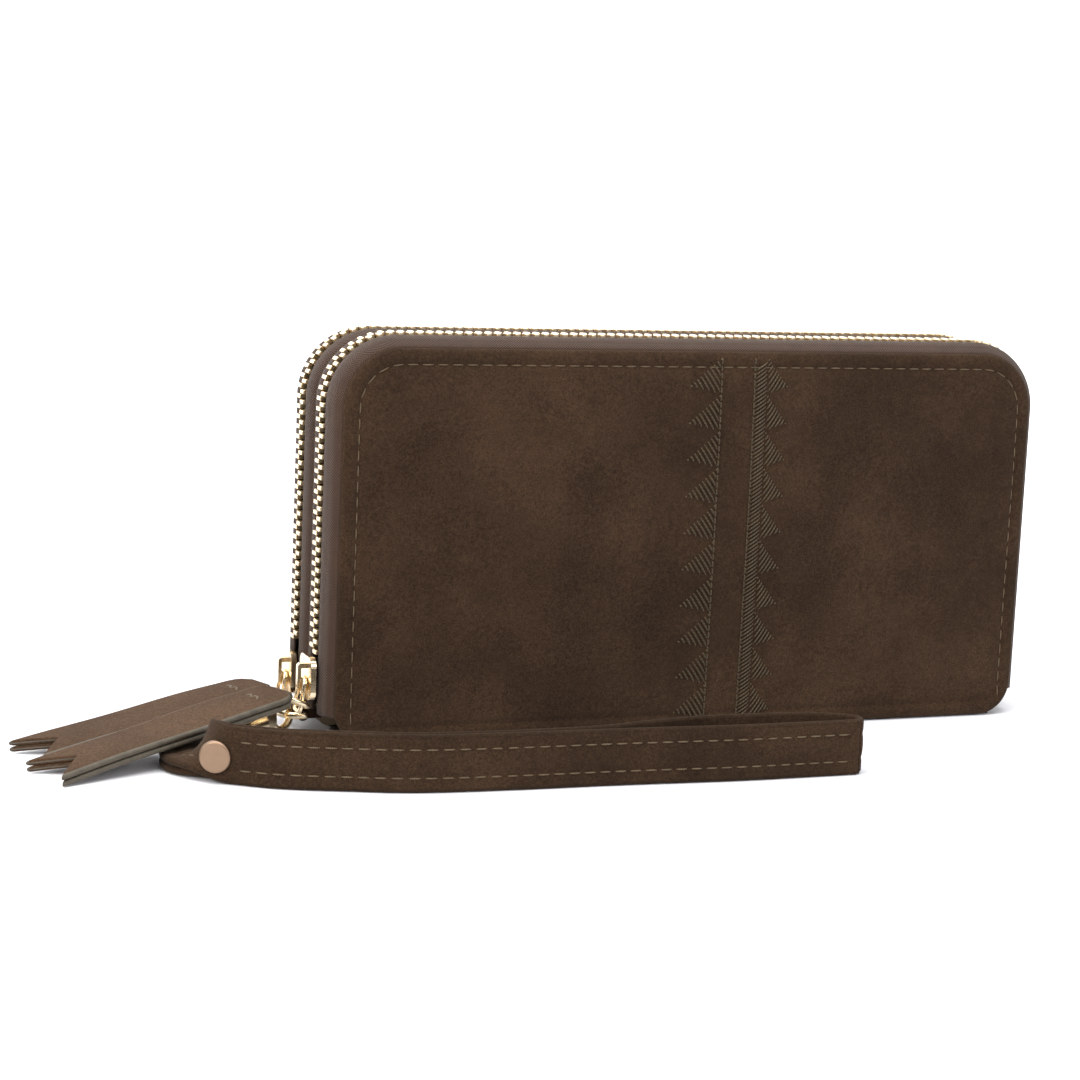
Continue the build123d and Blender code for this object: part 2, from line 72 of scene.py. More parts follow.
def joint_point(name):
    """Where a joint turns, in millimetres."""
    found = [joint for joint in frame["joints"] if joint["name"] == name]
    return np.array(found[0]["pos_m"]) / MM


SHELL_LOW, SHELL_HIGH = cad_box("front_shell")
_, TEETH_HIGH = cad_box("front_zip_teeth_outer")
INNER_LOW, _ = cad_box("front_zip_teeth_inner")
RIVET_LOW, RIVET_HIGH = cad_box("strap_rivet")

HALF_WIDTH = SHELL_HIGH[0]
HEIGHT = SHELL_HIGH[2]
COVER_FOOT = SHELL_LOW[2]
FRONT = SHELL_LOW[1]
SHELL_BACK = SHELL_HIGH[1]
TOP_RADIUS = 15.0
FOOT_RADIUS = 9.0
CORNER_X = HALF_WIDTH - TOP_RADIUS
CORNER_Z = HEIGHT - TOP_RADIUS
TEETH_OUT = TEETH_HIGH[2] - HEIGHT - 1.0
ZIP_DEPTH = (TEETH_HIGH[1] + INNER_LOW[1]) / 2
RUN_FOOT = 7.0
SIDES = (("front", 1.0), ("rear", -1.0))


class WalletSizes(bpy.types.PropertyGroup):
    """Sizes of the sewn and woven detail, in millimetres."""

    crown: FloatProperty(name="Panel crown", description="How far a panel swells", default=0.9)
    edge_roll: FloatProperty(name="Edge roll", description="Radius of a panel's turned edge", default=0.95)
    stitch_inset: FloatProperty(name="Stitch inset", description="Topstitch to panel edge", default=4.0)
    stitch_pitch: FloatProperty(name="Stitch pitch", description="From one stitch to the next", default=3.9)
    stitch_length: FloatProperty(name="Stitch length", description="Thread that shows", default=2.7)
    thread_radius: FloatProperty(name="Thread radius", description="Sewing thread", default=0.17)
    tooth_pitch: FloatProperty(name="Tooth pitch", description="Pitch along one zip row", default=2.6)
    fans: IntProperty(name="Fans", description="Embroidered fans in a column", default=10)
    fan_threads: IntProperty(name="Threads in a fan", description="Satin stitches in a fan", default=10)
    tab_gap: FloatProperty(name="Tab gap", description="Between a pull tab's two plies", default=0.16)


class WalletColours(bpy.types.PropertyGroup):
    """Base colours of the finishes, linear."""

    suede: FloatVectorProperty(name="Suede", description="Napped suede", subtype="COLOR",
                               default=(0.046, 0.0262, 0.0150))
    edge: FloatVectorProperty(name="Edge paint", description="Painted cut edges", subtype="COLOR",
                              default=(0.070, 0.058, 0.041))
    tape: FloatVectorProperty(name="Zip tape", description="Woven tape", subtype="COLOR",
                              default=(0.054, 0.0275, 0.0150))
    gold: FloatVectorProperty(name="Pale gold", description="Plated metal", subtype="COLOR",
                              default=(0.90, 0.74, 0.50))
    rose: FloatVectorProperty(name="Rose gold", description="Satin rivet", subtype="COLOR",
                              default=(0.27, 0.18, 0.12))
    tan: FloatVectorProperty(name="Topstitch", description="Tan sewing thread", subtype="COLOR",
                             default=(0.115, 0.076, 0.036))
    olive: FloatVectorProperty(name="Embroidery", description="Olive thread", subtype="COLOR",
                               default=(0.060, 0.039, 0.0125))
    lining: FloatVectorProperty(name="Lining", description="Woven lining", subtype="COLOR",
                                default=(0.30, 0.23, 0.15))


def sizes():
    """The sizes in use."""
    return bpy.context.scene.wallet_sizes


def colours():
    """The colours in use."""
    return bpy.context.scene.wallet_colours


# ---------------------------------------------------------------- node helpers


class Shader:
    """A new material with a Principled shader, and short calls that add and join its nodes."""

    def __init__(self, name, roughness, **fixed):
        self.material = bpy.data.materials.new(name)
        self.material.use_nodes = True
        self.tree = self.material.node_tree
        self.surface = self.tree.nodes["Principled BSDF"]
        self.surface.inputs["Roughness"].default_value = roughness
        for socket, value in fixed.items():
            self.surface.inputs[socket.replace("_", " ")].default_value = value

    def node(self, kind, **settings):
        """Add a node; settings name its properties."""
        made = self.tree.nodes.new(kind)
        for name, value in settings.items():
            setattr(made, name, value)
        return made

    def join(self, source, target):
        """Link an output socket to an input socket."""
        self.tree.links.new(source, target)

    def coordinates(self, scale, kind="Object"):
        """Object or UV coordinates in millimetres, times a scale along each axis."""
        where = self.node("ShaderNodeTexCoord")
        mapping = self.node("ShaderNodeMapping")
        unit = 1.0 / MM if kind == "Object" else 1.0
        mapping.inputs["Scale"].default_value = [unit * part for part in scale]
        self.join(where.outputs[kind], mapping.inputs["Vector"])
        return mapping.outputs["Vector"]

    def noise(self, scale, detail=3.0, roughness=0.6, kind="Object"):
        """Noise whose features are 1 / scale millimetres apart."""
        made = self.node("ShaderNodeTexNoise")
        made.inputs["Scale"].default_value = 1.0
        made.inputs["Detail"].default_value = detail
        made.inputs["Roughness"].default_value = roughness
        step = scale if isinstance(scale, tuple) else (scale, scale, scale)
        self.join(self.coordinates(step, kind), made.inputs["Vector"])
        return made.outputs["Fac"]

    def maths(self, operation, first, second=None):
        """A Math node on sockets or numbers."""
        made = self.node("ShaderNodeMath", operation=operation)
        for socket, value in zip(made.inputs, (first, second)):
            if isinstance(value, (int, float)):
                socket.default_value = value
            elif value is not None:
                self.join(value, socket)
        return made.outputs[0]

    def ramp(self, value, low, high, low_colour, high_colour):
        """Colour from low_colour to high_colour as value goes from low to high."""
        made = self.node("ShaderNodeValToRGB")
        made.color_ramp.elements[0].position = low
        made.color_ramp.elements[1].position = high
        made.color_ramp.elements[0].color = (*low_colour, 1.0)
        made.color_ramp.elements[1].color = (*high_colour, 1.0)
        self.join(value, made.inputs["Fac"])
        return made.outputs["Color"]

    def multiply(self, first, second, share=1.0):
        """Two colours multiplied, the second by its share."""
        made = self.node("ShaderNodeMix", data_type="RGBA", blend_type="MULTIPLY")
        made.inputs[0].default_value = share
        self.join(first, made.inputs[6])
        self.join(second, made.inputs[7])
        return made.outputs[2]

    def colour(self, socket):
        """Use a colour as the surface's base."""
        self.join(socket, self.surface.inputs["Base Color"])

    def bump(self, height, distance, strength=1.0, after=None):
        """Bump of a distance in millimetres, on top of another one."""
        made = self.node("ShaderNodeBump")
        made.inputs["Strength"].default_value = strength
        made.inputs["Distance"].default_value = distance * MM
        self.join(height, made.inputs["Height"])
        if after is not None:
            self.join(after, made.inputs["Normal"])
        self.join(made.outputs["Normal"], self.surface.inputs["Normal"])
        return made.outputs["Normal"]


def shade(colour, amount):
    """A colour times an amount."""
    return tuple(min(1.0, part * amount) for part in colour)


def suede_material(name="napped_suede", tone=1.0, cloud=0.30):
    """Suede: cloudy nap brushed lighter and darker, a fine fibrous grain and a velvet sheen."""
    base = shade(colours().suede, tone)
    s = Shader(name, 0.95, Sheen_Weight=0.05, Sheen_Roughness=0.55, Specular_IOR_Level=0.05)
    s.surface.inputs["Sheen Tint"].default_value = (1.0, 0.86, 0.70, 1.0)
    clouds = s.ramp(s.noise(0.035, 4.0, 0.55), 0.34, 0.68, shade(base, 1 - cloud), shade(base, 1 + cloud))
    nap = s.ramp(s.noise(0.9, 3.0, 0.7), 0.32, 0.66, (0.72, 0.70, 0.68), (1.0, 1.0, 1.0))
    grain = s.ramp(s.noise(2.4, 2.0, 0.7), 0.34, 0.64, (0.44, 0.42, 0.40), (1.0, 1.0, 1.0))
    s.colour(s.multiply(s.multiply(clouds, nap), grain))
    coarse = s.bump(s.noise(0.16, 3.0), 0.5, 0.35)
    s.bump(s.noise(2.6, 3.0, 0.75), 0.22, 0.8, coarse)
    return s.material


def edge_material():
    """Painted cut edge: a matt grey-olive coat with small runs and rubbed spots."""
    base = colours().edge
    s = Shader("painted_edge", 0.62, Specular_IOR_Level=0.35)
    s.colour(s.ramp(s.noise(0.5, 4.0), 0.3, 0.72, shade(base, 0.72), shade(base, 1.22)))
    s.bump(s.noise(1.4, 3.0), 0.12, 0.6)
    return s.material


def tape_material():
    """Zip tape: a herringbone of slanting yarns whose slope turns over at each rib of the weave."""
    base = colours().tape
    s = Shader("woven_zip_tape", 0.88, Sheen_Weight=0.12, Specular_IOR_Level=0.2)
    where = s.node("ShaderNodeSeparateXYZ")
    s.join(s.coordinates((1.0, 1.0, 1.0), "UV"), where.inputs[0])
    rib = s.maths("PINGPONG", where.outputs["Y"], 1.5)
    slant = s.maths("ADD", where.outputs["X"], s.maths("MULTIPLY", rib, 1.25))
    yarn = s.maths("ADD", s.maths("MULTIPLY", s.maths("SINE", s.maths("MULTIPLY", slant, 8.4)), 0.5), 0.5)
    colour = s.ramp(yarn, 0.1, 0.85, shade(base, 0.56), shade(base, 1.22))
    wear = s.ramp(s.noise(0.22, 4.0), 0.3, 0.7, (0.78, 0.76, 0.76), (1.0, 1.0, 1.0))
    s.colour(s.multiply(colour, wear))
    s.bump(yarn, 0.22, 0.9)
    return s.material


def metal_material(name, colour, roughness, wear=0.12):
    """Plated metal: its polish varies a little with handling, with faint ripples from casting."""
    s = Shader(name, roughness, Metallic=1.0)
    s.colour(s.ramp(s.noise(0.5, 3.0), 0.3, 0.7, shade(colour, 1 - wear), shade(colour, 1.0)))
    s.bump(s.noise(0.8, 2.0), 0.05, 0.35)
    return s.material


def thread_material(name, colour, twist=2.2, roughness=0.6):
    """Twisted thread: slanting plies along each stitch's own length, from its UV map."""
    s = Shader(name, roughness, Sheen_Weight=0.1, Specular_IOR_Level=0.35)
    where = s.node("ShaderNodeSeparateXYZ")
    s.join(s.coordinates((1.0, 1.0, 1.0), "UV"), where.inputs[0])
    turn = s.maths("ADD", s.maths("MULTIPLY", where.outputs["X"], twist), where.outputs["Y"])
    ply = s.maths("PINGPONG", turn, 0.5)
    # The plies' grooves are painted dark and their crests bright, 0.35 to 1.2 times the thread's colour:
    # painted shade and highlight.
    lit = s.ramp(ply, 0.0, 0.4, shade(colour, 0.35), shade(colour, 1.2))
    tone = s.ramp(s.noise(0.35, 3.0), 0.3, 0.7, (0.70, 0.70, 0.66), (1.0, 1.0, 1.0))
    s.colour(s.multiply(lit, tone))
    s.bump(ply, 0.12, 0.7)
    return s.material


def cloth_material(name, colour, across="Z", pitch=0.5, contrast=0.35):
    """Plain woven cloth: two sets of yarns cross over and under at an even pitch."""
    s = Shader(name, 0.86, Sheen_Weight=0.15, Specular_IOR_Level=0.25)
    where = s.node("ShaderNodeSeparateXYZ")
    s.join(s.coordinates((1.0, 1.0, 1.0)), where.inputs[0])
    step = math.pi / pitch
    warp = s.maths("SINE", s.maths("MULTIPLY", where.outputs["X"], step))
    weft = s.maths("SINE", s.maths("MULTIPLY", where.outputs[across], step))
    over = s.maths("ADD", s.maths("MULTIPLY", s.maths("MULTIPLY", warp, weft), 0.5), 0.5)
    weave = s.ramp(over, 0.05, 0.95, shade(colour, 1 - contrast), shade(colour, 1 + contrast * 0.4))
    tone = s.ramp(s.noise(0.05, 4.0), 0.3, 0.7, (0.84, 0.82, 0.80), (1.0, 1.0, 1.0))
    s.colour(s.multiply(weave, tone))
    s.bump(over, 0.1, 0.6)
    return s.material


def board_material():
    """Fibre board: pale felted fibres."""
    s = Shader("fibre_board", 0.92, Specular_IOR_Level=0.2)
    s.colour(s.ramp(s.noise((0.3, 0.3, 2.4), 5.0, 0.7), 0.3, 0.7, (0.40, 0.34, 0.26), (0.58, 0.52, 0.42)))
    s.bump(s.noise(1.6, 4.0), 0.1, 0.5)
    return s.material


# A finish is made once and shared by every piece that has it.
MADE = {}


def finish_of(name):
    """The shared material of a finish."""
    makers = {
        "suede": lambda: suede_material(),
        # A copy of the suede 1.75 times as bright for the pull tabs: painted light on their lit faces.
        "suede_painted_light": lambda: suede_material("painted_light_suede", 1.75, 0.20),
        # A copy of the suede 0.8 times as bright for the strap's rims and the base: painted shade.
        "suede_painted_shade": lambda: suede_material("shaded_suede", 0.80, 0.22),
        "edge": edge_material,
        "tape": tape_material,
        "gold": lambda: metal_material("pale_gold_plate", colours().gold, 0.20),
        "teeth": lambda: metal_material("zip_tooth_metal", colours().gold, 0.30, 0.2),
        "rose": lambda: metal_material("satin_rose_gold", colours().rose, 0.42, 0.06),
        "tan": lambda: thread_material("tan_topstitch", colours().tan),
        "olive": lambda: thread_material("olive_embroidery", colours().olive, 1.1, 0.55),
        "lining": lambda: cloth_material("woven_lining", colours().lining),
        "lining_side": lambda: cloth_material("woven_gusset", shade(colours().lining, 0.8)),
        "lining_floor": lambda: cloth_material("woven_base", colours().lining, "Y"),
        "board": board_material,
    }
    if name not in MADE:
        MADE[name] = makers[name]()
    return MADE[name]


# ---------------------------------------------------------------- mesh helpers


def grid_faces(rows, columns, wrap=False, start=0):
    """Quads of a grid of points stored row by row; wrap joins the last column to the first."""
    row = np.arange(rows - 1)[:, None] * columns
    column = np.arange(columns if wrap else columns - 1)[None, :]
    after = (column + 1) % columns
    quads = np.stack([row + column, row + after, row + columns + after, row + columns + column], axis=-1)
    return quads.reshape(-1, 4) + start


def put_mesh(name, points, faces, finishes, uv=None, finish_index=None, flat=False):
    """A mesh object from points in millimetres and lists of faces, with its finishes and UV map.

    uv holds one pair for each point, in millimetres along and across the piece.
    """
    mesh = bpy.data.meshes.new(name)
    corners = [list(map(int, face)) for group in faces for face in group]
    mesh.from_pydata((np.asarray(points, float) * MM).tolist(), [], corners)
    for finish in finishes:
        mesh.materials.append(finish_of(finish))
    if finish_index is not None:
        mesh.polygons.foreach_set("material_index", np.asarray(finish_index, np.int32))
    mesh.polygons.foreach_set("use_smooth", np.full(len(corners), not flat))
    if uv is not None:
        layer = mesh.uv_layers.new(name="along_across")
        loops = np.zeros(len(mesh.loops), np.int32)
        mesh.loops.foreach_get("vertex_index", loops)
        layer.data.foreach_set("uv", np.asarray(uv, np.float32)[loops].ravel())
    mesh.validate()
    mesh.update()
    made = bpy.data.objects.new(name, mesh)
    bpy.context.scene.collection.objects.link(made)
    return made


def outward(made):
    """Turn a closed mesh's faces outwards."""
    work = bmesh.new()
    work.from_mesh(made.data)
    bmesh.ops.recalc_face_normals(work, faces=work.faces[:])
    work.to_mesh(made.data)
    work.free()
    made.data.update()
    return made


def settle(made, body, nodes=()):
    """The piece rides on a body and stands for its CAD nodes, which it hides."""
    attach(made, body)
    if nodes:
        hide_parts(*nodes)
    return made


def finish_node(node, finish):
    """Give a CAD node that stays in view its procedural finish."""
    mesh = frame["nodes"][node].data
    mesh.materials.clear()
    mesh.materials.append(finish_of(finish))


def tube_rings(centres, radii, across, through, count, flatness=1.0):
    """Rings of points round centres: each ring is centre + r (cos across + flatness sin through)."""
    angle = np.linspace(0, 2 * np.pi, count, endpoint=False)
    ring = (np.cos(angle)[:, None] * across[..., None, :]
            + flatness * np.sin(angle)[:, None] * through[..., None, :])
    return centres[..., None, :] + radii[..., None, None] * ring


def stitches(name, starts, ends, normals, radius, finish, lift=0.6, stations=6, count=6):
    """Many threads as one mesh: each arches from its start to its end.

    A thread's centre runs straight from start to end and is lifted along the normal by
    lift * radius * sin(pi t) ** 0.5; its radius shrinks to 0.45 at the needle holes.
    """
    t = np.linspace(0, 1, stations)
    run = ends - starts
    length = np.linalg.norm(run, axis=1)
    ahead = run / length[:, None]
    side = np.cross(normals, ahead)
    arch = np.sqrt(np.sin(np.pi * t).clip(0))
    centre = starts[:, None] + t[:, None] * run[:, None] + (
        lift * radius * (arch - 0.6)[:, None] * normals[:, None])
    radii = np.broadcast_to(radius * (0.45 + 0.55 * arch), centre.shape[:2])
    shape = centre.shape
    rings = tube_rings(centre, radii, np.broadcast_to(side[:, None], shape),
                       np.broadcast_to(normals[:, None], shape), count)
    points = rings.reshape(-1, 3)
    each = stations * count
    one = grid_faces(stations, count, wrap=True)
    quads = (one[None] + (np.arange(len(starts)) * each)[:, None, None]).reshape(-1, 4)
    caps = np.array([list(range(count))[::-1], list(range(each - count, each))])
    caps = (caps[None] + (np.arange(len(starts)) * each)[:, None, None]).reshape(-1, count)
    along = (t[None, :, None] * length[:, None, None]) + np.zeros((1, 1, count))
    around = np.broadcast_to(np.linspace(0, 1, count, endpoint=False), along.shape)
    uv = np.stack([along, around], axis=-1).reshape(-1, 2)
    return outward(put_mesh(name, points, [quads, caps], [finish], uv))


def sweep(name, stations, finishes, uv=None, finish_index=None):
    """A closed section carried along stations: points are stations x section, with both ends capped."""
    rows, columns = stations.shape[:2]
    quads = grid_faces(rows, columns, wrap=True)
    last = (rows - 1) * columns
    caps = [list(range(columns))[::-1], list(range(last, last + columns))]
    index = None
    if finish_index is not None:
        index = np.concatenate([np.tile(finish_index, rows - 1), [finish_index[0]] * 2])
    return outward(put_mesh(name, stations.reshape(-1, 3), [quads, caps], finishes, uv, index))


# ---------------------------------------------------------------- the wallet's outline


def run_length(out=0.0, foot=RUN_FOOT):
    """Length of the line that runs up the left side, over the top and down the right."""
    return 2 * (CORNER_Z - foot) + math.pi * (TOP_RADIUS + out) + 2 * CORNER_X


def run_line(along, out=0.0, foot=RUN_FOOT):
    """Points and outward directions on that line, by the length along it.

    Straight up to the corner's centre, a quarter circle of TOP_RADIUS + out, straight over,
    a second quarter circle, and straight down. Returns x, z and the outward direction's x and z.
    """
    along = np.asarray(along, float)
    radius = TOP_RADIUS + out
    side, turn, over = CORNER_Z - foot, radius * math.pi / 2, 2 * CORNER_X
    left = np.clip((along - side) / radius, 0, math.pi / 2)
    right = np.clip((along - side - turn - over) / radius, 0, math.pi / 2)
    angle = math.pi - left - right
    rise = np.minimum(along, side) + foot
    drop = np.maximum(along - side - 2 * turn - over, 0)
    shift = np.clip(along - side - turn, 0, over)
    middle_x = -CORNER_X + shift
    middle_z = rise - drop
    direction_x, direction_z = np.cos(angle), np.sin(angle)
    return middle_x + radius * direction_x, middle_z + radius * direction_z, direction_x, direction_z


def edge_distance(x, z, foot_radius=FOOT_RADIUS):
    """Distance inwards from the panel's edge: a rounded rectangle's distance, corner by corner."""
    radius = np.where(z > HEIGHT / 2, TOP_RADIUS, foot_radius)
    across = np.abs(x) - (HALF_WIDTH - radius)
    middle = (HEIGHT + COVER_FOOT) / 2
    upright = np.abs(z - middle) - ((HEIGHT - COVER_FOOT) / 2 - radius)
    outside = np.hypot(np.maximum(across, 0), np.maximum(upright, 0))
    return radius - (outside + np.minimum(np.maximum(across, upright), 0))


def ripple(x, z, seed, amount, lengths=(70.0, 38.0, 21.0)):
    """Soft unevenness: a few sine waves of falling size whose directions and phases come from a seed."""
    random = np.random.default_rng(seed)
    total = np.zeros_like(x)
    for order, length in enumerate(lengths):
        for _ in range(3):
            heading, phase = random.uniform(0, 2 * np.pi, 2)
            wave = np.sin(2 * np.pi * (x * np.cos(heading) + z * np.sin(heading)) / length + phase)
            total += wave * amount / (1.6 ** order) / 3
    return total


def panel_front(x, z, seed):
    """How far a suede panel's face stands out of its back, by place.

    A turned edge (quarter circle of edge_roll), a crown that rises as 1 - exp(-d / 16), a valley
    along the topstitch and a soft ripple.
    """
    size = sizes()
    d = np.maximum(edge_distance(x, z), 0)
    roll = size.edge_roll
    depth = np.sqrt(np.maximum(roll ** 2 - (roll - np.minimum(d, roll)) ** 2, 0))
    turned = np.where(d < roll, roll - depth, 0)
    crown = size.crown * (1 - np.exp(-d / 16)) + 0.25 * np.exp(-((d - 2.0) / 1.2) ** 2)
    sewn = z > COVER_FOOT + 2
    valley = 0.34 * np.exp(-((d - size.stitch_inset) / 0.7) ** 2) * sewn
    soft = ripple(x, z, seed, 0.28) * (1 - np.exp(-d / 9))
    return SHELL_BACK - FRONT - turned + crown - valley + soft


def panel_grid(inset):
    """Grid of places over the rounded panel: rows up the height, each spread over the width there.

    Rows bunch up by a cosine near both ends, and columns bunch up near both sides.
    """
    rows, columns = 200, 340
    fall = (1 - np.cos(np.linspace(0, np.pi, rows))) / 2
    rows_z = np.linspace(0, 1, rows) * 0.35 + fall * 0.65
    z = COVER_FOOT + inset + rows_z * (HEIGHT - COVER_FOOT - 2 * inset)
    radius = np.where(z > HEIGHT / 2, TOP_RADIUS, FOOT_RADIUS) - inset
    end = np.where(z > HEIGHT / 2, HEIGHT - inset - z, z - COVER_FOOT - inset)
    short = np.clip(radius - end, 0, None)
    half = HALF_WIDTH - inset - (radius - np.sqrt(np.maximum(radius ** 2 - short ** 2, 0)))
    spread = np.linspace(-1, 1, columns)
    spread = np.sin(spread * np.pi / 2) * 0.55 + spread * 0.45
    return half[:, None] * spread[None, :], np.repeat(z[:, None], columns, axis=1)


def suede_panel(name, turned, seed):
    """One cover's suede: a crowned face, its turned edge and a flat back, closed all round."""
    x, z = panel_grid(0.0)
    rows, columns = x.shape
    height = panel_front(x, z, seed)
    face = np.stack([x, (SHELL_BACK - height) * turned, z], axis=-1).reshape(-1, 3)
    back = np.stack([x, np.full_like(x, SHELL_BACK * turned), z], axis=-1).reshape(-1, 3)
    order = np.arange(rows * columns).reshape(rows, columns)
    rim = np.concatenate([order[0, :-1], order[:-1, -1], order[-1, :0:-1], order[:0:-1, 0]])
    after = np.roll(rim, -1)
    count = rows * columns
    wall = np.stack([rim, after, after + count, rim + count], axis=-1)
    quads = [grid_faces(rows, columns), grid_faces(rows, columns, start=count)[:, ::-1], wall]
    made = put_mesh(name, np.concatenate([face, back]), quads, ["suede"])
    return outward(made)


def face_point(x, z, turned, seed, lift=0.0):
    """Point on a panel's face, lifted off it."""
    height = panel_front(x, z, seed) + lift
    return np.stack([x, (SHELL_BACK - height) * turned, z], axis=-1)


FACE_SEED = {"front": 11, "rear": 23}


class WALLET_OT_panels(bpy.types.Operator):
    """Front and rear suede panels"""

    bl_idname = "wallet.panels"
    bl_label = "Suede panels"

    def execute(self, context):
        for side, turned in SIDES:
            made = suede_panel(f"{side}_suede_panel", turned, FACE_SEED[side])
            settle(made, f"{side}_cover", [f"{side}_shell"])
        return {"FINISHED"}


class WALLET_OT_topstitch(bpy.types.Operator):
    """Tan stitches round both panels, sunk in their valley"""

    bl_idname = "wallet.topstitch"
    bl_label = "Topstitch"

    def execute(self, context):
        size = sizes()
        inset = -size.stitch_inset
        total = run_length(inset, 5.0)
        count = int(total / size.stitch_pitch)
        begin = np.arange(count) * total / count + 0.6
        for side, turned in SIDES:
            x0, z0, _, _ = run_line(begin, inset, 5.0)
            x1, z1, _, _ = run_line(begin + size.stitch_length, inset, 5.0)
            seed = FACE_SEED[side]
            start = face_point(x0, z0, turned, seed, 0.12)
            end = face_point(x1, z1, turned, seed, 0.12)
            normal = np.tile([0.0, -turned, 0.0], (count, 1))
            made = stitches(f"{side}_topstitch", start, end, normal, size.thread_radius, "tan")
            settle(made, f"{side}_cover")
        return {"FINISHED"}


# ---------------------------------------------------------------- embroidery

FAN_TOP = HEIGHT - 1.6
FAN_FOOT = 2.5
LEFT_BASE, RIGHT_BASE = 3.6, 13.6
RIGHT_GROOVE = 17.2


def fan_threads(base, reach, side, top, pitch):
    """Starts and ends of one fan's slanting satin stitches.

    Starts lie evenly along the long edge from the base's top to the tip at 0.76 of the pitch; each
    runs down at a fixed slope, back to the base line or to the short lower edge, whichever is first.
    """
    t = np.linspace(0.02, 0.98, sizes().fan_threads)
    start_x, start_z = t * reach, -t * 0.76 * pitch
    slope = 1.45
    to_base = start_x
    lower = 0.97 * pitch
    # The lower edge runs from (reach, -0.76 pitch) to (0, -lower).
    rise = (lower - 0.76 * pitch) / reach
    to_lower = (start_z + lower - start_x * rise) / (slope - rise)
    run = np.clip(np.minimum(to_base, to_lower), 0.25, None)
    end_x, end_z = start_x - run, start_z - run * slope
    return base + side * start_x, top + start_z, base + side * end_x, top + end_z


def embroidered_column(name, base, reach, side, band):
    """A column of fans in satin stitch, with a narrow band and a line of small stitches at its base."""
    size = sizes()
    pitch = (FAN_TOP - FAN_FOOT) / size.fans
    fan_base = base + side * band
    parts = [fan_threads(fan_base, reach, side, FAN_TOP - k * pitch, pitch) for k in range(size.fans)]
    if band:
        count = int((FAN_TOP - FAN_FOOT) / 1.05)
        level = FAN_TOP - 1.0 - np.arange(count) * 1.05
        level = level[level > FAN_FOOT + 2]
        slant = np.full_like(level, base + band * side * 0.92)
        parts.append((slant, level, np.full_like(level, base), level - 2.2))
    line = FAN_TOP - np.arange(int((FAN_TOP - FAN_FOOT) / 1.9)) * 1.9
    groove = np.full_like(line, base - side * 0.25)
    parts.append((groove, line, groove, line - 1.6))
    x0, z0, x1, z1 = (np.concatenate([part[k] for part in parts]) for k in range(4))
    seed = FACE_SEED["front"]
    start = face_point(x0, z0, 1.0, seed, 0.16)
    end = face_point(x1, z1, 1.0, seed, 0.16)
    normal = np.tile([0.0, -1.0, 0.0], (len(x0), 1))
    return stitches(name, start, end, normal, 0.235, "olive", lift=1.4, stations=7, count=6)


class WALLET_OT_embroidery(bpy.types.Operator):
    """Two columns of embroidered fans on the front"""

    bl_idname = "wallet.embroidery"
    bl_label = "Embroidery"

    def execute(self, context):
        left = embroidered_column("embroidered_fans_left", LEFT_BASE, 8.6, -1, 0.0)
        right = embroidered_column("embroidered_fans_right", RIGHT_BASE, 5.8, 1, RIGHT_GROOVE - RIGHT_BASE)
        settle(left, "front_cover", ["embroidery_left"])
        settle(right, "front_cover", ["embroidery_right"])
        return {"FINISHED"}


# ---------------------------------------------------------------- zips


def smooth_section(points, count):
    """A rounded open line through a few points: Catmull-Rom, taken at even parameters."""
    points = np.asarray(points, float)
    padded = np.concatenate([[2 * points[0] - points[1]], points, [2 * points[-1] - points[-2]]])
    t = np.linspace(0, len(points) - 1 - 1e-9, count)
    k = t.astype(int)
    f = (t - k)[:, None]
    a, b, c, d = padded[k], padded[k + 1], padded[k + 2], padded[k + 3]
    square, cube = 2 * a - 5 * b + 4 * c - d, 3 * b - a - 3 * c + d
    return 0.5 * (2 * b + (c - a) * f + square * f ** 2 + cube * f ** 3)


def thickened(line, thickness):
    """A closed section: the line, and the line set inwards by a thickness, joined at both ends."""
    ahead = np.gradient(line, axis=0)
    ahead /= np.linalg.norm(ahead, axis=1)[:, None]
    inward = np.stack([-ahead[:, 1], ahead[:, 0]], axis=1)
    return np.concatenate([line, (line + inward * thickness)[::-1]])


def zip_tape(name, line, turned, thickness=0.5):
    """A tape carried round the wallet: its section (outward, depth) follows the run's outline."""
    section = thickened(smooth_section(line, 22), thickness)
    total = run_length(0.0)
    along = np.linspace(0, total, 420)
    x, z, nx, nz = run_line(along)
    out, depth = section[:, 0], section[:, 1] * turned
    points = np.stack([
        x[:, None] + nx[:, None] * out,
        np.broadcast_to(depth, (len(along), len(out))),
        z[:, None] + nz[:, None] * out,
    ], axis=-1)
    gap = np.linalg.norm(np.diff(section, axis=0, prepend=section[:1]), axis=1)
    across = np.cumsum(gap)
    uv = np.stack(np.broadcast_arrays(along[:, None], across[None, :]), axis=-1).reshape(-1, 2)
    return sweep(name, points, ["tape"], uv)


# Sections of the tapes, as (outward, depth) from the suede's edge towards the zip's middle.
COVER_LINE = [
    (-5.4, -17.9), (-0.6, -17.9), (0.6, -17.5), (1.9, -16.2), (2.7, -14.2), (2.75, -12.2), (2.4, -11.0),
]
DIVIDER_LINE = [(2.4, -6.9), (2.75, -5.6), (2.9, -4.2), (2.5, -2.6), (1.6, -1.2), (0.2, -0.45), (-4.5, -0.75)]


class WALLET_OT_tapes(bpy.types.Operator):
    """Zip tapes that bulge from the panels to the teeth, and from the teeth to the middle seam"""

    bl_idname = "wallet.tapes"
    bl_label = "Zip tapes"

    def execute(self, context):
        for side, turned in SIDES:
            outer = zip_tape(f"{side}_cover_tape", COVER_LINE, turned)
            settle(outer, f"{side}_cover", [f"{side}_zip_tape_outer"])
            inner = zip_tape(f"{side}_divider_tape", DIVIDER_LINE, turned)
            settle(inner, "divider", [f"{side}_zip_tape_inner"])
        return {"FINISHED"}


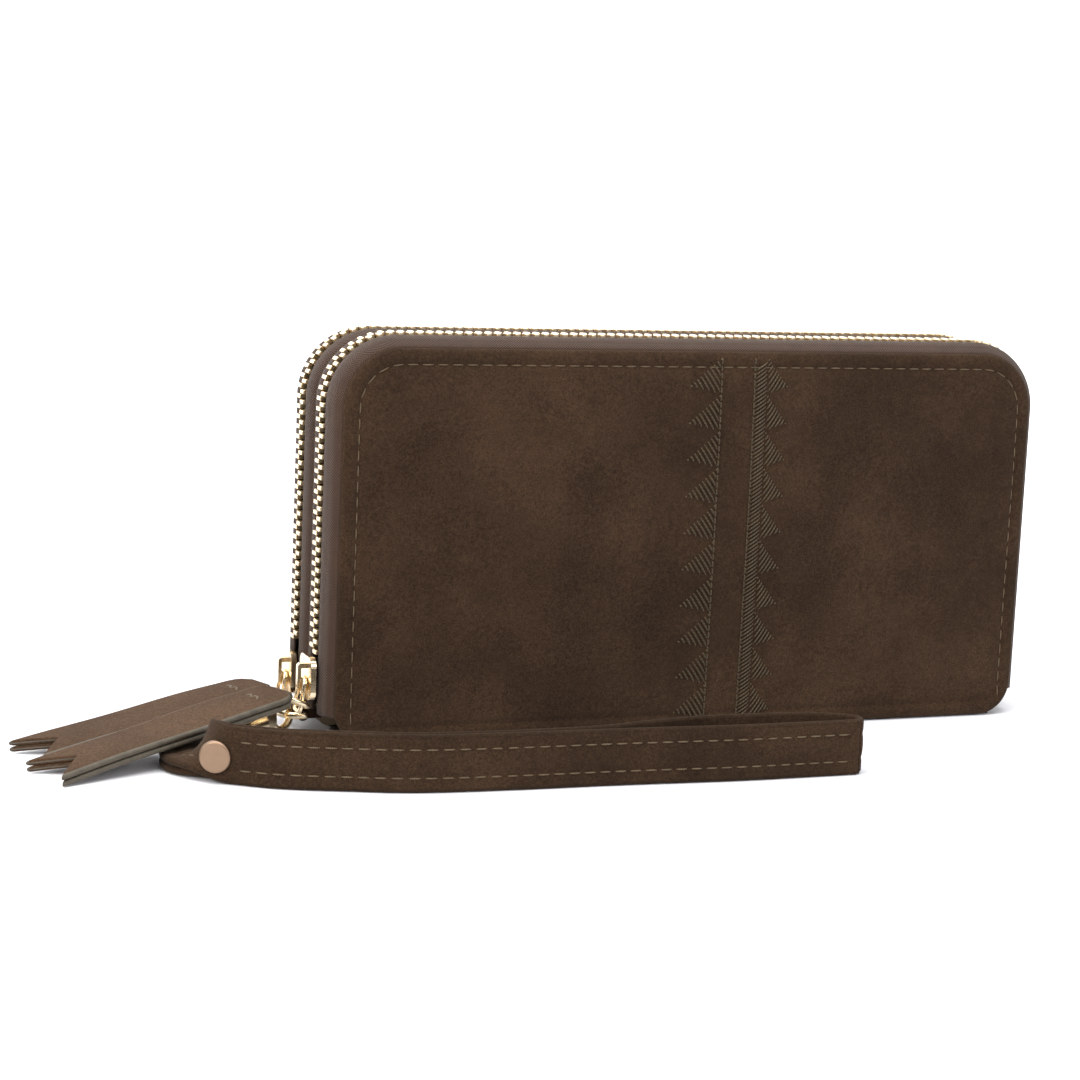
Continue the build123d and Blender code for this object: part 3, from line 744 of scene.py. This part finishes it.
def tooth_shape():
    """One tooth's corners in its own frame: X outward, Y across towards the other row, Z along the zip.

    Four rings across: a broad foot clamped on the tape, a waist, a head, and the head's bevelled end.
    """
    across = np.array([-1.5, -1.4, 0.3, 1.2, 1.3])
    out_half = np.array([0.90, 1.02, 1.02, 0.98, 0.86])
    along_half = np.array([0.44, 0.54, 0.54, 0.54, 0.44])
    corner = np.array([
        (-1, -0.8), (-0.8, -1), (0.8, -1), (1, -0.8), (1, 0.8), (0.8, 1), (-0.8, 1), (-1, 0.8)])
    x = corner[None, :, 0] * out_half[:, None]
    z = corner[None, :, 1] * along_half[:, None]
    y = np.repeat(across[:, None], len(corner), axis=1)
    quads = grid_faces(len(across), len(corner), wrap=True)
    last = (len(across) - 1) * len(corner)
    caps = [list(range(len(corner)))[::-1], list(range(last, last + len(corner)))]
    return np.stack([x, y, z], axis=-1).reshape(-1, 3), quads, caps


def tooth_row(name, middle, facing, phase, foot):
    """A row of teeth along the run: the tooth's frame is turned to the run's outward direction."""
    shape, quads, caps = tooth_shape()
    pitch = sizes().tooth_pitch
    total = run_length(TEETH_OUT, foot)
    along = np.arange(phase, total - 0.5, pitch)
    x, z, nx, nz = run_line(along, TEETH_OUT, foot)
    tangent_x, tangent_z = -nz, nx
    px = x[:, None] + nx[:, None] * shape[:, 0] + tangent_x[:, None] * shape[:, 2]
    pz = z[:, None] + nz[:, None] * shape[:, 0] + tangent_z[:, None] * shape[:, 2]
    py = np.broadcast_to(middle + facing * shape[:, 1], px.shape)
    points = np.stack([px, py, pz], axis=-1).reshape(-1, 3)
    step = (np.arange(len(along)) * len(shape))[:, None, None]
    all_quads = (quads[None] + step).reshape(-1, 4)
    all_caps = (np.array(caps)[None] + step).reshape(-1, len(caps[0]))
    return outward(put_mesh(name, points, [all_quads, all_caps], ["teeth"], flat=True))


class WALLET_OT_teeth(bpy.types.Operator):
    """Metal teeth of both zips, each row between the other row's teeth"""

    bl_idname = "wallet.teeth"
    bl_label = "Zip teeth"

    def execute(self, context):
        start = 15.6
        reach = 1.3
        between = start + sizes().tooth_pitch / 2
        for side, turned in SIDES:
            middle = ZIP_DEPTH * turned
            outer = tooth_row(f"{side}_cover_teeth", middle - reach * turned, turned, start, RUN_FOOT)
            settle(outer, f"{side}_cover", [f"{side}_zip_teeth_outer"])
            inner = tooth_row(f"{side}_divider_teeth", middle + reach * turned, -turned, between, RUN_FOOT)
            settle(inner, "divider", [f"{side}_zip_teeth_inner"])
        return {"FINISHED"}


class WALLET_OT_sliders(bpy.types.Operator):
    """Sliders, their pullers and their rings, in polished pale gold"""

    bl_idname = "wallet.sliders"
    bl_label = "Zip sliders"

    def execute(self, context):
        for side, _ in SIDES:
            for part in ("slider", "puller", "pull_ring"):
                finish_node(f"{side}_{part}", "gold")
        return {"FINISHED"}


# ---------------------------------------------------------------- pull tabs

TAB_LENGTH, TAB_WIDTH, TAB_PLY, TAB_NOTCH = 68.5, 16.0, 1.4, 9.5
TAB_FRAMES = {"front": (201.0, -9.0, 0.0), "rear": (200.5, -7.0, 0.0)}


def heading(plan, slope=0.0):
    """Unit vector in plan at a heading in degrees, tipped by a slope in degrees."""
    h, s = math.radians(plan), math.radians(slope)
    return np.array([math.cos(h) * math.cos(s), math.sin(h) * math.cos(s), math.sin(s)])


def tab_axes(side):
    """A pull tab's own frame: its root, and its directions along, across and through."""
    plan, slope, roll = TAB_FRAMES[side]
    along = heading(plan, slope)
    level = heading(plan + 90)
    up = np.cross(along, level)
    across = level * math.cos(math.radians(roll)) + up * math.sin(math.radians(roll))
    return joint_point(f"{side}_pull_tab_swing"), along, across, np.cross(along, across)


def stadium(count_flat, count_round):
    """Closed section of a strip with full-round edges, as (side, turn): side in -1..1 picks the place
    across the flat width, and turn is the angle of a point on the edge's half circle."""
    flat = np.linspace(-1, 1, count_flat)
    round_ = np.linspace(-np.pi / 2, np.pi / 2, count_round)[1:-1]
    side = np.concatenate([flat[::-1], np.full(len(round_), -1.0), flat, np.full(len(round_), 1.0)])
    angle = np.concatenate([
        np.full(count_flat, np.pi / 2), np.pi - round_[::-1] * 1.0, np.full(count_flat, -np.pi / 2), round_])
    return side, angle


def tab_mesh(name, side):
    """A strip folded in half at its root, its two ends cut to a swallow-tail.

    The strip's middle line goes in along the lower ply, round a half circle at the root and out along
    the upper ply. Its section is a stadium. Width grows from a neck at the root by a quarter ellipse,
    and the end's place along the tab falls by TAB_NOTCH * (1 - |across|).
    """
    gap = sizes().tab_gap / 2
    half_ply = TAB_PLY / 2
    lift = half_ply + gap
    side_at, turn = stadium(25, 9)
    share = np.concatenate([np.linspace(1.0, 0.992, 5)[:-1], np.linspace(0.992, 0, 60)])
    bend = np.linspace(-np.pi / 2, np.pi / 2, 13)[1:-1]
    share_all = np.concatenate([share, np.zeros(len(bend)), share[::-1]])
    level = np.concatenate([np.full(len(share), -1.0), np.sin(bend), np.full(len(share), 1.0)])
    reach = np.concatenate([np.zeros(len(share)), np.cos(bend), np.zeros(len(share))])
    closing = np.clip((1.0 - share_all) / 0.008, 0, 1)
    plump = np.sqrt(1 - (1 - closing) ** 2) * 0.75 + 0.25
    along_middle = share_all * TAB_LENGTH
    neck = 3.4
    grow = np.clip(along_middle / 5.5, 0, 1)
    half_width = neck + (TAB_WIDTH / 2 - half_ply - neck) * np.sqrt(1 - (1 - grow) ** 2)
    across = side_at[None, :] * half_width[:, None] + np.cos(turn)[None, :] * half_ply * plump[:, None] * (
        np.abs(side_at)[None, :] == 1)
    through = np.sin(turn)[None, :] * half_ply * plump[:, None]
    rim = np.abs(across) / (TAB_WIDTH / 2)
    end = TAB_LENGTH - TAB_NOTCH * (1 - np.minimum(rim, 1.0))
    along = share_all[:, None] * end
    bow = 0.16 * np.sin(along / 7.3 + across / 9) + 0.22 * np.sin(along / 17.0) - 0.25 * (across / 8) ** 2
    bow = bow * np.clip(along / 8, 0, 1)
    along = along - reach[:, None] * (lift + through)
    height = level[:, None] * lift + through * np.where(reach > 0, level, np.sign(level))[:, None] + bow
    root, ahead, sideways, up = tab_axes(side)
    points = (root + along[..., None] * ahead + across[..., None] * sideways + height[..., None] * up)
    uv = np.stack([along, across], axis=-1).reshape(-1, 2)
    painted = (np.abs(side_at) == 1) & (np.abs(np.sin(turn)) < 0.98)
    edge_faces = painted | np.roll(painted, -1)
    index = np.tile(edge_faces.astype(int), len(share_all) - 1)
    rows, columns = across.shape
    quads = grid_faces(rows, columns, wrap=True)
    flat = 25
    top = np.arange(flat)
    round_count = 7
    bottom = flat + round_count + np.arange(flat)[::-1]
    caps, cap_index = [], []
    for row in (0, rows - 1):
        start = row * columns
        pairs = np.stack([top[:-1], top[1:], bottom[1:], bottom[:-1]], axis=-1) + start
        caps.append(pairs)
        left = [start + k for k in range(flat - 1, flat + round_count + 1)]
        right = [start + (k % columns) for k in range(2 * flat + round_count - 1, columns + 1)]
        caps.append([left])
        caps.append([right])
        cap_index += [1] * (len(pairs) + 2)
    # The tab's faces take the suede copy painted 1.75 times as bright, a painted highlight; its rims take
    # edge paint.
    made = put_mesh(name, points.reshape(-1, 3), [quads, *caps], ["suede_painted_light", "edge"], uv,
                    np.concatenate([index, cap_index]))
    return outward(made)


class WALLET_OT_pull_tabs(bpy.types.Operator):
    """Folded suede pull tabs with painted edges, each with its bar of thread"""

    bl_idname = "wallet.pull_tabs"
    bl_label = "Pull tabs"

    def execute(self, context):
        for side, _ in SIDES:
            tab = tab_mesh(f"{side}_suede_pull_tab", side)
            settle(tab, f"{side}_pull_tab", [f"{side}_pull_tab"])
            root, ahead, sideways, up = tab_axes(side)
            top = TAB_PLY + sizes().tab_gap / 2 + 0.12
            places = [
                (7.2, -1.9, 8.6, 0.1), (8.4, -0.4, 7.0, 1.5), (7.2, 0.9, 8.6, 2.7), (8.3, -2.6, 7.2, -1.0),
            ]
            start = np.array([root + a * ahead + b * sideways + top * up for a, b, _, _ in places])
            end = np.array([root + c * ahead + d * sideways + top * up for _, _, c, d in places])
            normal = np.tile(up, (len(places), 1))
            bar = stitches(f"{side}_tab_thread_bar", start, end, normal, 0.34, "tan", lift=1.2)
            settle(bar, f"{side}_pull_tab", [f"{side}_tab_bartack"])
        return {"FINISHED"}


# ---------------------------------------------------------------- wrist strap

STRAP_HEIGHT, STRAP_PLY, PLY_GAP = 14.0, 1.9, 0.12
FRONT_ROUTE = [
    (21.5, -70.6), (6.0, -70.5), (-12.0, -70.2), (-41.0, -68.2), (-66.0, -67.2), (-90.0, -65.2),
    (-106.0, -60.6), (-121.0, -55.2), (-130.4, -49.2), (-139.8, -43.2), (-144.2, -36.2),
    (-144.0, -28.0), (-140.6, -21.0), (-136.4, -15.8),
]
BACK_ROUTE = [
    (21.5, -71.6), (23.1, -69.2), (22.6, -66.8), (16.5, -63.3), (5.0, -61.0), (-18.0, -60.6), (-34.0, -63.2),
    (-46.0, -65.6), (-66.0, -66.05),
]
LEAN_FROM, LEAN_TO = (-131.0, -48.8), (-144.2, -36.2)


def strap_middle():
    """Foot line of the strap's front run, smoothed, as plan points at an even step."""
    return smooth_section(FRONT_ROUTE, 330)


def strap_lean(line):
    """How far the strap leans over, in radians: upright along the front, flat from the bend to the eye."""
    along = np.concatenate([[0], np.cumsum(np.linalg.norm(np.diff(line, axis=0), axis=1))])
    start, end = (along[np.argmin(np.linalg.norm(line - place, axis=1))] for place in (LEAN_FROM, LEAN_TO))
    share = np.clip((along - start) / (end - start), 0, 1)
    return share * share * (3 - 2 * share) * math.radians(88), along


def band_mesh(name, foot_line, lean, inner, plies, ripple_seed=5):
    """A strap ply: a stadium section, on its long edge, carried along its foot line.

    At each station the section's long direction is cos(lean) up + sin(lean) inner, and its face looks
    the other way. plies is the ply's place through the thickness, from the strap's middle outwards.
    """
    side_at, turn = stadium(23, 9)
    half = STRAP_PLY / 2
    flat_half = STRAP_HEIGHT / 2 - half
    along = np.concatenate([[0], np.cumsum(np.linalg.norm(np.diff(foot_line, axis=0), axis=1))])
    up = np.stack([np.sin(lean) * inner[:, 0], np.sin(lean) * inner[:, 1], np.cos(lean)], axis=1)
    face = np.stack([-np.cos(lean) * inner[:, 0], -np.cos(lean) * inner[:, 1], np.sin(lean)], axis=1)
    thick = STRAP_PLY + PLY_GAP / 2
    foot_z = 0.08 + thick * np.sin(lean)
    rounded = np.abs(np.cos(turn)) * half * side_at * (np.abs(side_at) == 1)
    across = STRAP_HEIGHT / 2 + side_at * flat_half + rounded
    through = np.sin(turn) * half
    wave = 0.18 * np.sin(along / 11.0 + ripple_seed) + 0.12 * np.sin(along / 5.3 + 2 * ripple_seed)
    pinch = -0.16 * np.exp(-((np.abs(across - 7.0) - 3.0) / 0.6) ** 2)
    puff = 0.14 * np.exp(-((across - 7.0) / 2.2) ** 2)
    relief = (pinch + puff) * np.sin(turn)
    belly = np.sin(np.pi * across / STRAP_HEIGHT)
    base = np.column_stack([foot_line, foot_z])
    points = (base[:, None] + across[None, :, None] * up[:, None]
              + (plies + through + relief)[None, :, None] * face[:, None]
              + wave[:, None, None] * belly[None, :, None] * face[:, None] * 0.5)
    uv = np.stack(np.broadcast_arrays(along[:, None], across[None, :]), axis=-1).reshape(-1, 2)
    # The strap's rounded rims take the suede copy painted 0.8 times as bright: painted shade.
    painted = (np.abs(side_at) == 1) & (np.abs(np.sin(turn)) < 0.98)
    index = (painted | np.roll(painted, -1)).astype(int)
    return sweep(name, points, ["suede", "suede_painted_shade"], uv, index)


def inner_normals(line):
    """Plan directions square to a line, to the right of someone who walks along it."""
    ahead = np.gradient(line, axis=0)
    ahead /= np.linalg.norm(ahead, axis=1)[:, None]
    return np.stack([ahead[:, 1], -ahead[:, 0]], axis=1)


def strap_points(line, lean, inner, up_by, out_by):
    """Points on the strap at a height up its face and a distance out of its middle."""
    up = np.stack([np.sin(lean) * inner[:, 0], np.sin(lean) * inner[:, 1], np.cos(lean)], axis=1)
    face = np.stack([-np.cos(lean) * inner[:, 0], -np.cos(lean) * inner[:, 1], np.sin(lean)], axis=1)
    thick = STRAP_PLY + PLY_GAP / 2
    base = np.column_stack([line, 0.08 + thick * np.sin(lean)])
    return base + up_by * up + out_by * face, face


class WALLET_OT_strap(bpy.types.Operator):
    """Wrist strap: a loop of two suede plies on its long edge, with two lines of stitches"""

    bl_idname = "wallet.strap"
    bl_label = "Wrist strap"

    def execute(self, context):
        size = sizes()
        line = strap_middle()
        lean, along = strap_lean(line)
        inner = inner_normals(line)
        middle = STRAP_PLY / 2 + PLY_GAP / 2
        front = band_mesh("strap_front_ply", line, lean, inner, middle)
        settle(front, "wrist_strap", ["wrist_strap"])
        joined = line[:, 0] < -60
        back_end = line[joined]
        rear = smooth_section(BACK_ROUTE, 150)
        rear_inner = inner_normals(rear)
        back = band_mesh("strap_back_ply", rear, np.zeros(len(rear)), -rear_inner, 0.0, ripple_seed=9)
        settle(back, "wrist_strap")
        left = band_mesh("strap_inner_ply", back_end, lean[joined], inner[joined], -middle, ripple_seed=3)
        settle(left, "wrist_strap")
        total = along[-1]
        count = int((total - 12) / size.stitch_pitch)
        every = 3.0 + np.arange(count) * size.stitch_pitch
        rivet = (RIVET_LOW[:2] + RIVET_HIGH[:2]) / 2
        place = np.stack([np.interp(every, along, line[:, k]) for k in range(2)], axis=1)
        clear = np.linalg.norm(place - rivet, axis=1) > 6.0
        for label, level, last in (("lower", 3.6, -143.0), ("upper", 10.4, -129.0)):
            begin = every[clear & (place[:, 0] > last) & (place[:, 1] < -38)]
            ends = []
            for shift in (0.0, size.stitch_length):
                at = begin + shift
                plan = np.stack([np.interp(at, along, line[:, k]) for k in range(2)], axis=1)
                turn = np.interp(at, along, lean)
                square = np.stack([np.interp(at, along, inner[:, k]) for k in range(2)], axis=1)
                square /= np.linalg.norm(square, axis=1)[:, None]
                ends.append(strap_points(plan, turn, square, level, middle + STRAP_PLY / 2 - 0.05))
            (start, normal), (end, _) = ends
            made = stitches(f"strap_stitches_{label}", start, end, normal, size.thread_radius * 1.15, "tan")
            settle(made, "wrist_strap")
        return {"FINISHED"}


class WALLET_OT_rivet(bpy.types.Operator):
    """Double-cap rivet in satin rose gold"""

    bl_idname = "wallet.rivet"
    bl_label = "Rivet"

    def execute(self, context):
        finish_node("strap_rivet", "rose")
        return {"FINISHED"}


class WALLET_OT_clasp(bpy.types.Operator):
    """Clasp, gate, eye and ring in pale gold, and the suede loop that holds the ring"""

    bl_idname = "wallet.clasp"
    bl_label = "Clasp"

    def execute(self, context):
        for node in ("clasp_body", "clasp_gate", "clasp_eye", "d_ring"):
            finish_node(node, "gold")
        finish_node("ring_tab", "suede")
        return {"FINISHED"}


class WALLET_OT_interior(bpy.types.Operator):
    """Linings, boards, pockets and gussets inside"""

    bl_idname = "wallet.interior"
    bl_label = "Interior"

    def execute(self, context):
        for side, _ in SIDES:
            finish_node(f"{side}_lining", "lining")
            finish_node(f"{side}_board", "board")
            finish_node(f"divider_lining_{side}", "lining")
            for end in ("left", "right"):
                finish_node(f"{side}_gusset_{end}", "lining_side")
            for number in range(1, 5):
                finish_node(f"{side}_card_slot_{number}", "lining_side")
        pockets = (
            "rear_slip_pocket", "bill_pocket", "coin_pocket_pouch", "coin_pocket_welt", "coin_zip_tape",
        )
        for node in pockets:
            finish_node(node, "lining_side")
        finish_node("divider_board", "board")
        # The base takes the suede copy painted 0.8 times as bright: painted shade under the wallet.
        finish_node("base_panel", "suede_painted_shade")
        finish_node("base_lining", "lining_floor")
        for node in ("coin_zip_teeth", "coin_slider", "coin_puller"):
            finish_node(node, "gold")
        return {"FINISHED"}


# ---------------------------------------------------------------- stage

CAMERA_YAW, CAMERA_PITCH, CAMERA_ROLL = -21.572, 9.0, 2.5
CAMERA_DISTANCE, CAMERA_AIM = 662.457, (-37.036, 0.0, 48.267)
CAMERA_LENS = 84.003


def aim_camera():
    """Camera on its line back from the point it looks at, rolled about that line."""
    yaw, pitch, roll = (math.radians(a) for a in (CAMERA_YAW, CAMERA_PITCH, CAMERA_ROLL))
    back = Vector((math.sin(yaw) * math.cos(pitch), -math.cos(yaw) * math.cos(pitch), math.sin(pitch)))
    right = Vector((math.cos(yaw), math.sin(yaw), 0.0))
    up = back.cross(right)
    rolled = right * math.cos(roll) + up * math.sin(roll)
    rolled_up = up * math.cos(roll) - right * math.sin(roll)
    turn = Matrix((rolled, rolled_up, back)).transposed().to_4x4()
    data = bpy.data.cameras.new("view")
    data.lens = CAMERA_LENS
    data.sensor_width = 36.0
    data.clip_start = 0.01
    made = bpy.data.objects.new("view", data)
    place = (Vector(CAMERA_AIM) + back * CAMERA_DISTANCE) * MM
    made.matrix_world = Matrix.Translation(place) @ turn
    bpy.context.scene.collection.objects.link(made)
    bpy.context.scene.camera = made


def area_light(name, place, aim, size, power, colour=(1.0, 1.0, 1.0)):
    """A soft rectangular light that looks at a point; places in metres."""
    data = bpy.data.lights.new(name, "AREA")
    data.shape = "RECTANGLE"
    data.size, data.size_y = size
    data.energy = power
    data.color = colour
    made = bpy.data.objects.new(name, data)
    direction = Vector(aim) - Vector(place)
    turn = direction.to_track_quat("-Z", "Y").to_matrix().to_4x4()
    made.matrix_world = Matrix.Translation(Vector(place)) @ turn
    bpy.context.scene.collection.objects.link(made)


def sweep_floor():
    """White floor that turns up behind into a backdrop: a quarter circle joins floor and wall."""
    angle = np.linspace(0, np.pi / 2, 24)
    radius, depth, height = 600.0, 1400.0, 2600.0
    y = np.concatenate([[-2600.0, 0.0], depth + radius * np.sin(angle), [depth + radius]])
    z = np.concatenate([[0.0, 0.0], radius * (1 - np.cos(angle)), [height]])
    x = np.array([-3200.0, 3200.0])
    points = np.stack([np.tile(x, len(y)), np.repeat(y, 2), np.repeat(z, 2) - 0.02], axis=-1)
    made = put_mesh("floor", points, [grid_faces(len(y), 2)], [])
    s = Shader("white_floor", 0.7, Specular_IOR_Level=0.1)
    where = s.node("ShaderNodeSeparateXYZ")
    s.join(s.coordinates((0.001, 0.001, 0.001)), where.inputs[0])
    # The floor is painted greyer towards the front (0.72) than at the backdrop (0.97): painted light levels,
    # so shadows show near the wallet while the backdrop stays white.
    s.colour(s.ramp(where.outputs["Y"], 0.25, 0.95, (0.72, 0.72, 0.75), (0.97, 0.97, 0.98)))
    made.data.materials.append(s.material)


def studio_world():
    """Even white light all round; seen in metal, it is bright overhead and dim towards the horizon."""
    world = bpy.data.worlds.new("studio")
    world.use_nodes = True
    tree = world.node_tree
    sky = tree.nodes["Background"]
    where = tree.nodes.new("ShaderNodeTexCoord")
    split = tree.nodes.new("ShaderNodeSeparateXYZ")
    tree.links.new(where.outputs["Generated"], split.inputs[0])
    fade = tree.nodes.new("ShaderNodeValToRGB")
    fade.color_ramp.elements[0].position = 0.05
    fade.color_ramp.elements[1].position = 0.75
    fade.color_ramp.elements[0].color = (0.05, 0.05, 0.055, 1.0)
    fade.color_ramp.elements[1].color = (1.0, 1.0, 1.0, 1.0)
    tree.links.new(split.outputs["Z"], fade.inputs["Fac"])
    ray = tree.nodes.new("ShaderNodeLightPath")
    choose = tree.nodes.new("ShaderNodeMix")
    choose.data_type = "RGBA"
    choose.inputs[6].default_value = (1.0, 1.0, 1.0, 1.0)
    tree.links.new(ray.outputs["Is Glossy Ray"], choose.inputs[0])
    tree.links.new(fade.outputs["Color"], choose.inputs[7])
    tree.links.new(choose.outputs[2], sky.inputs["Color"])
    sky.inputs["Strength"].default_value = 0.8
    bpy.context.scene.world = world


class WALLET_OT_stage(bpy.types.Operator):
    """White floor and backdrop, soft studio light and the camera"""

    bl_idname = "wallet.stage"
    bl_label = "Stage"

    def execute(self, context):
        aim_camera()
        sweep_floor()
        area_light("soft_top", (-0.15, -0.1, 1.1), (-0.03, 0.0, 0.0), (1.2, 1.0), 19.0)
        area_light("soft_left", (-1.1, -0.55, 0.6), (-0.05, 0.0, 0.05), (0.8, 0.7), 12.0, (1.0, 0.98, 0.95))
        area_light("soft_front", (0.35, -1.3, 0.55), (0.0, 0.0, 0.05), (0.8, 0.6), 5.0)
        area_light("backdrop", (0.0, 0.6, 1.5), (0.0, 2.0, 1.0), (2.4, 0.8), 60.0)
        studio_world()
        context.scene.view_settings.view_transform = "Standard"
        return {"FINISHED"}


OPERATORS = (
    WALLET_OT_stage, WALLET_OT_panels, WALLET_OT_topstitch, WALLET_OT_embroidery, WALLET_OT_tapes,
    WALLET_OT_teeth, WALLET_OT_sliders, WALLET_OT_pull_tabs, WALLET_OT_strap, WALLET_OT_rivet,
    WALLET_OT_clasp, WALLET_OT_interior,
)


class WALLET_PT_pieces(bpy.types.Panel):
    """Lists the wallet's pieces"""

    bl_idname = "WALLET_PT_pieces"
    bl_label = "Wristlet wallet"
    bl_space_type = "VIEW_3D"
    bl_region_type = "UI"
    bl_category = "Wallet"

    def draw(self, context):
        for kind in OPERATORS:
            self.layout.operator(kind.bl_idname)
        for group in (context.scene.wallet_sizes, context.scene.wallet_colours):
            for name in group.__annotations__:
                self.layout.prop(group, name)


CLASSES = (WalletSizes, WalletColours, *OPERATORS, WALLET_PT_pieces)


def register():
    """Add the classes and the scene's settings."""
    for kind in CLASSES:
        bpy.utils.register_class(kind)
    bpy.types.Scene.wallet_sizes = PointerProperty(type=WalletSizes)
    bpy.types.Scene.wallet_colours = PointerProperty(type=WalletColours)


def unregister():
    """Take them away again."""
    del bpy.types.Scene.wallet_colours
    del bpy.types.Scene.wallet_sizes
    for kind in reversed(CLASSES):
        bpy.utils.unregister_class(kind)


def main():
    """Build every piece in order."""
    register()
    for kind in OPERATORS:
        group, name = kind.bl_idname.split(".")
        getattr(getattr(bpy.ops, group), name)()


if __name__ == "__main__":
    main()
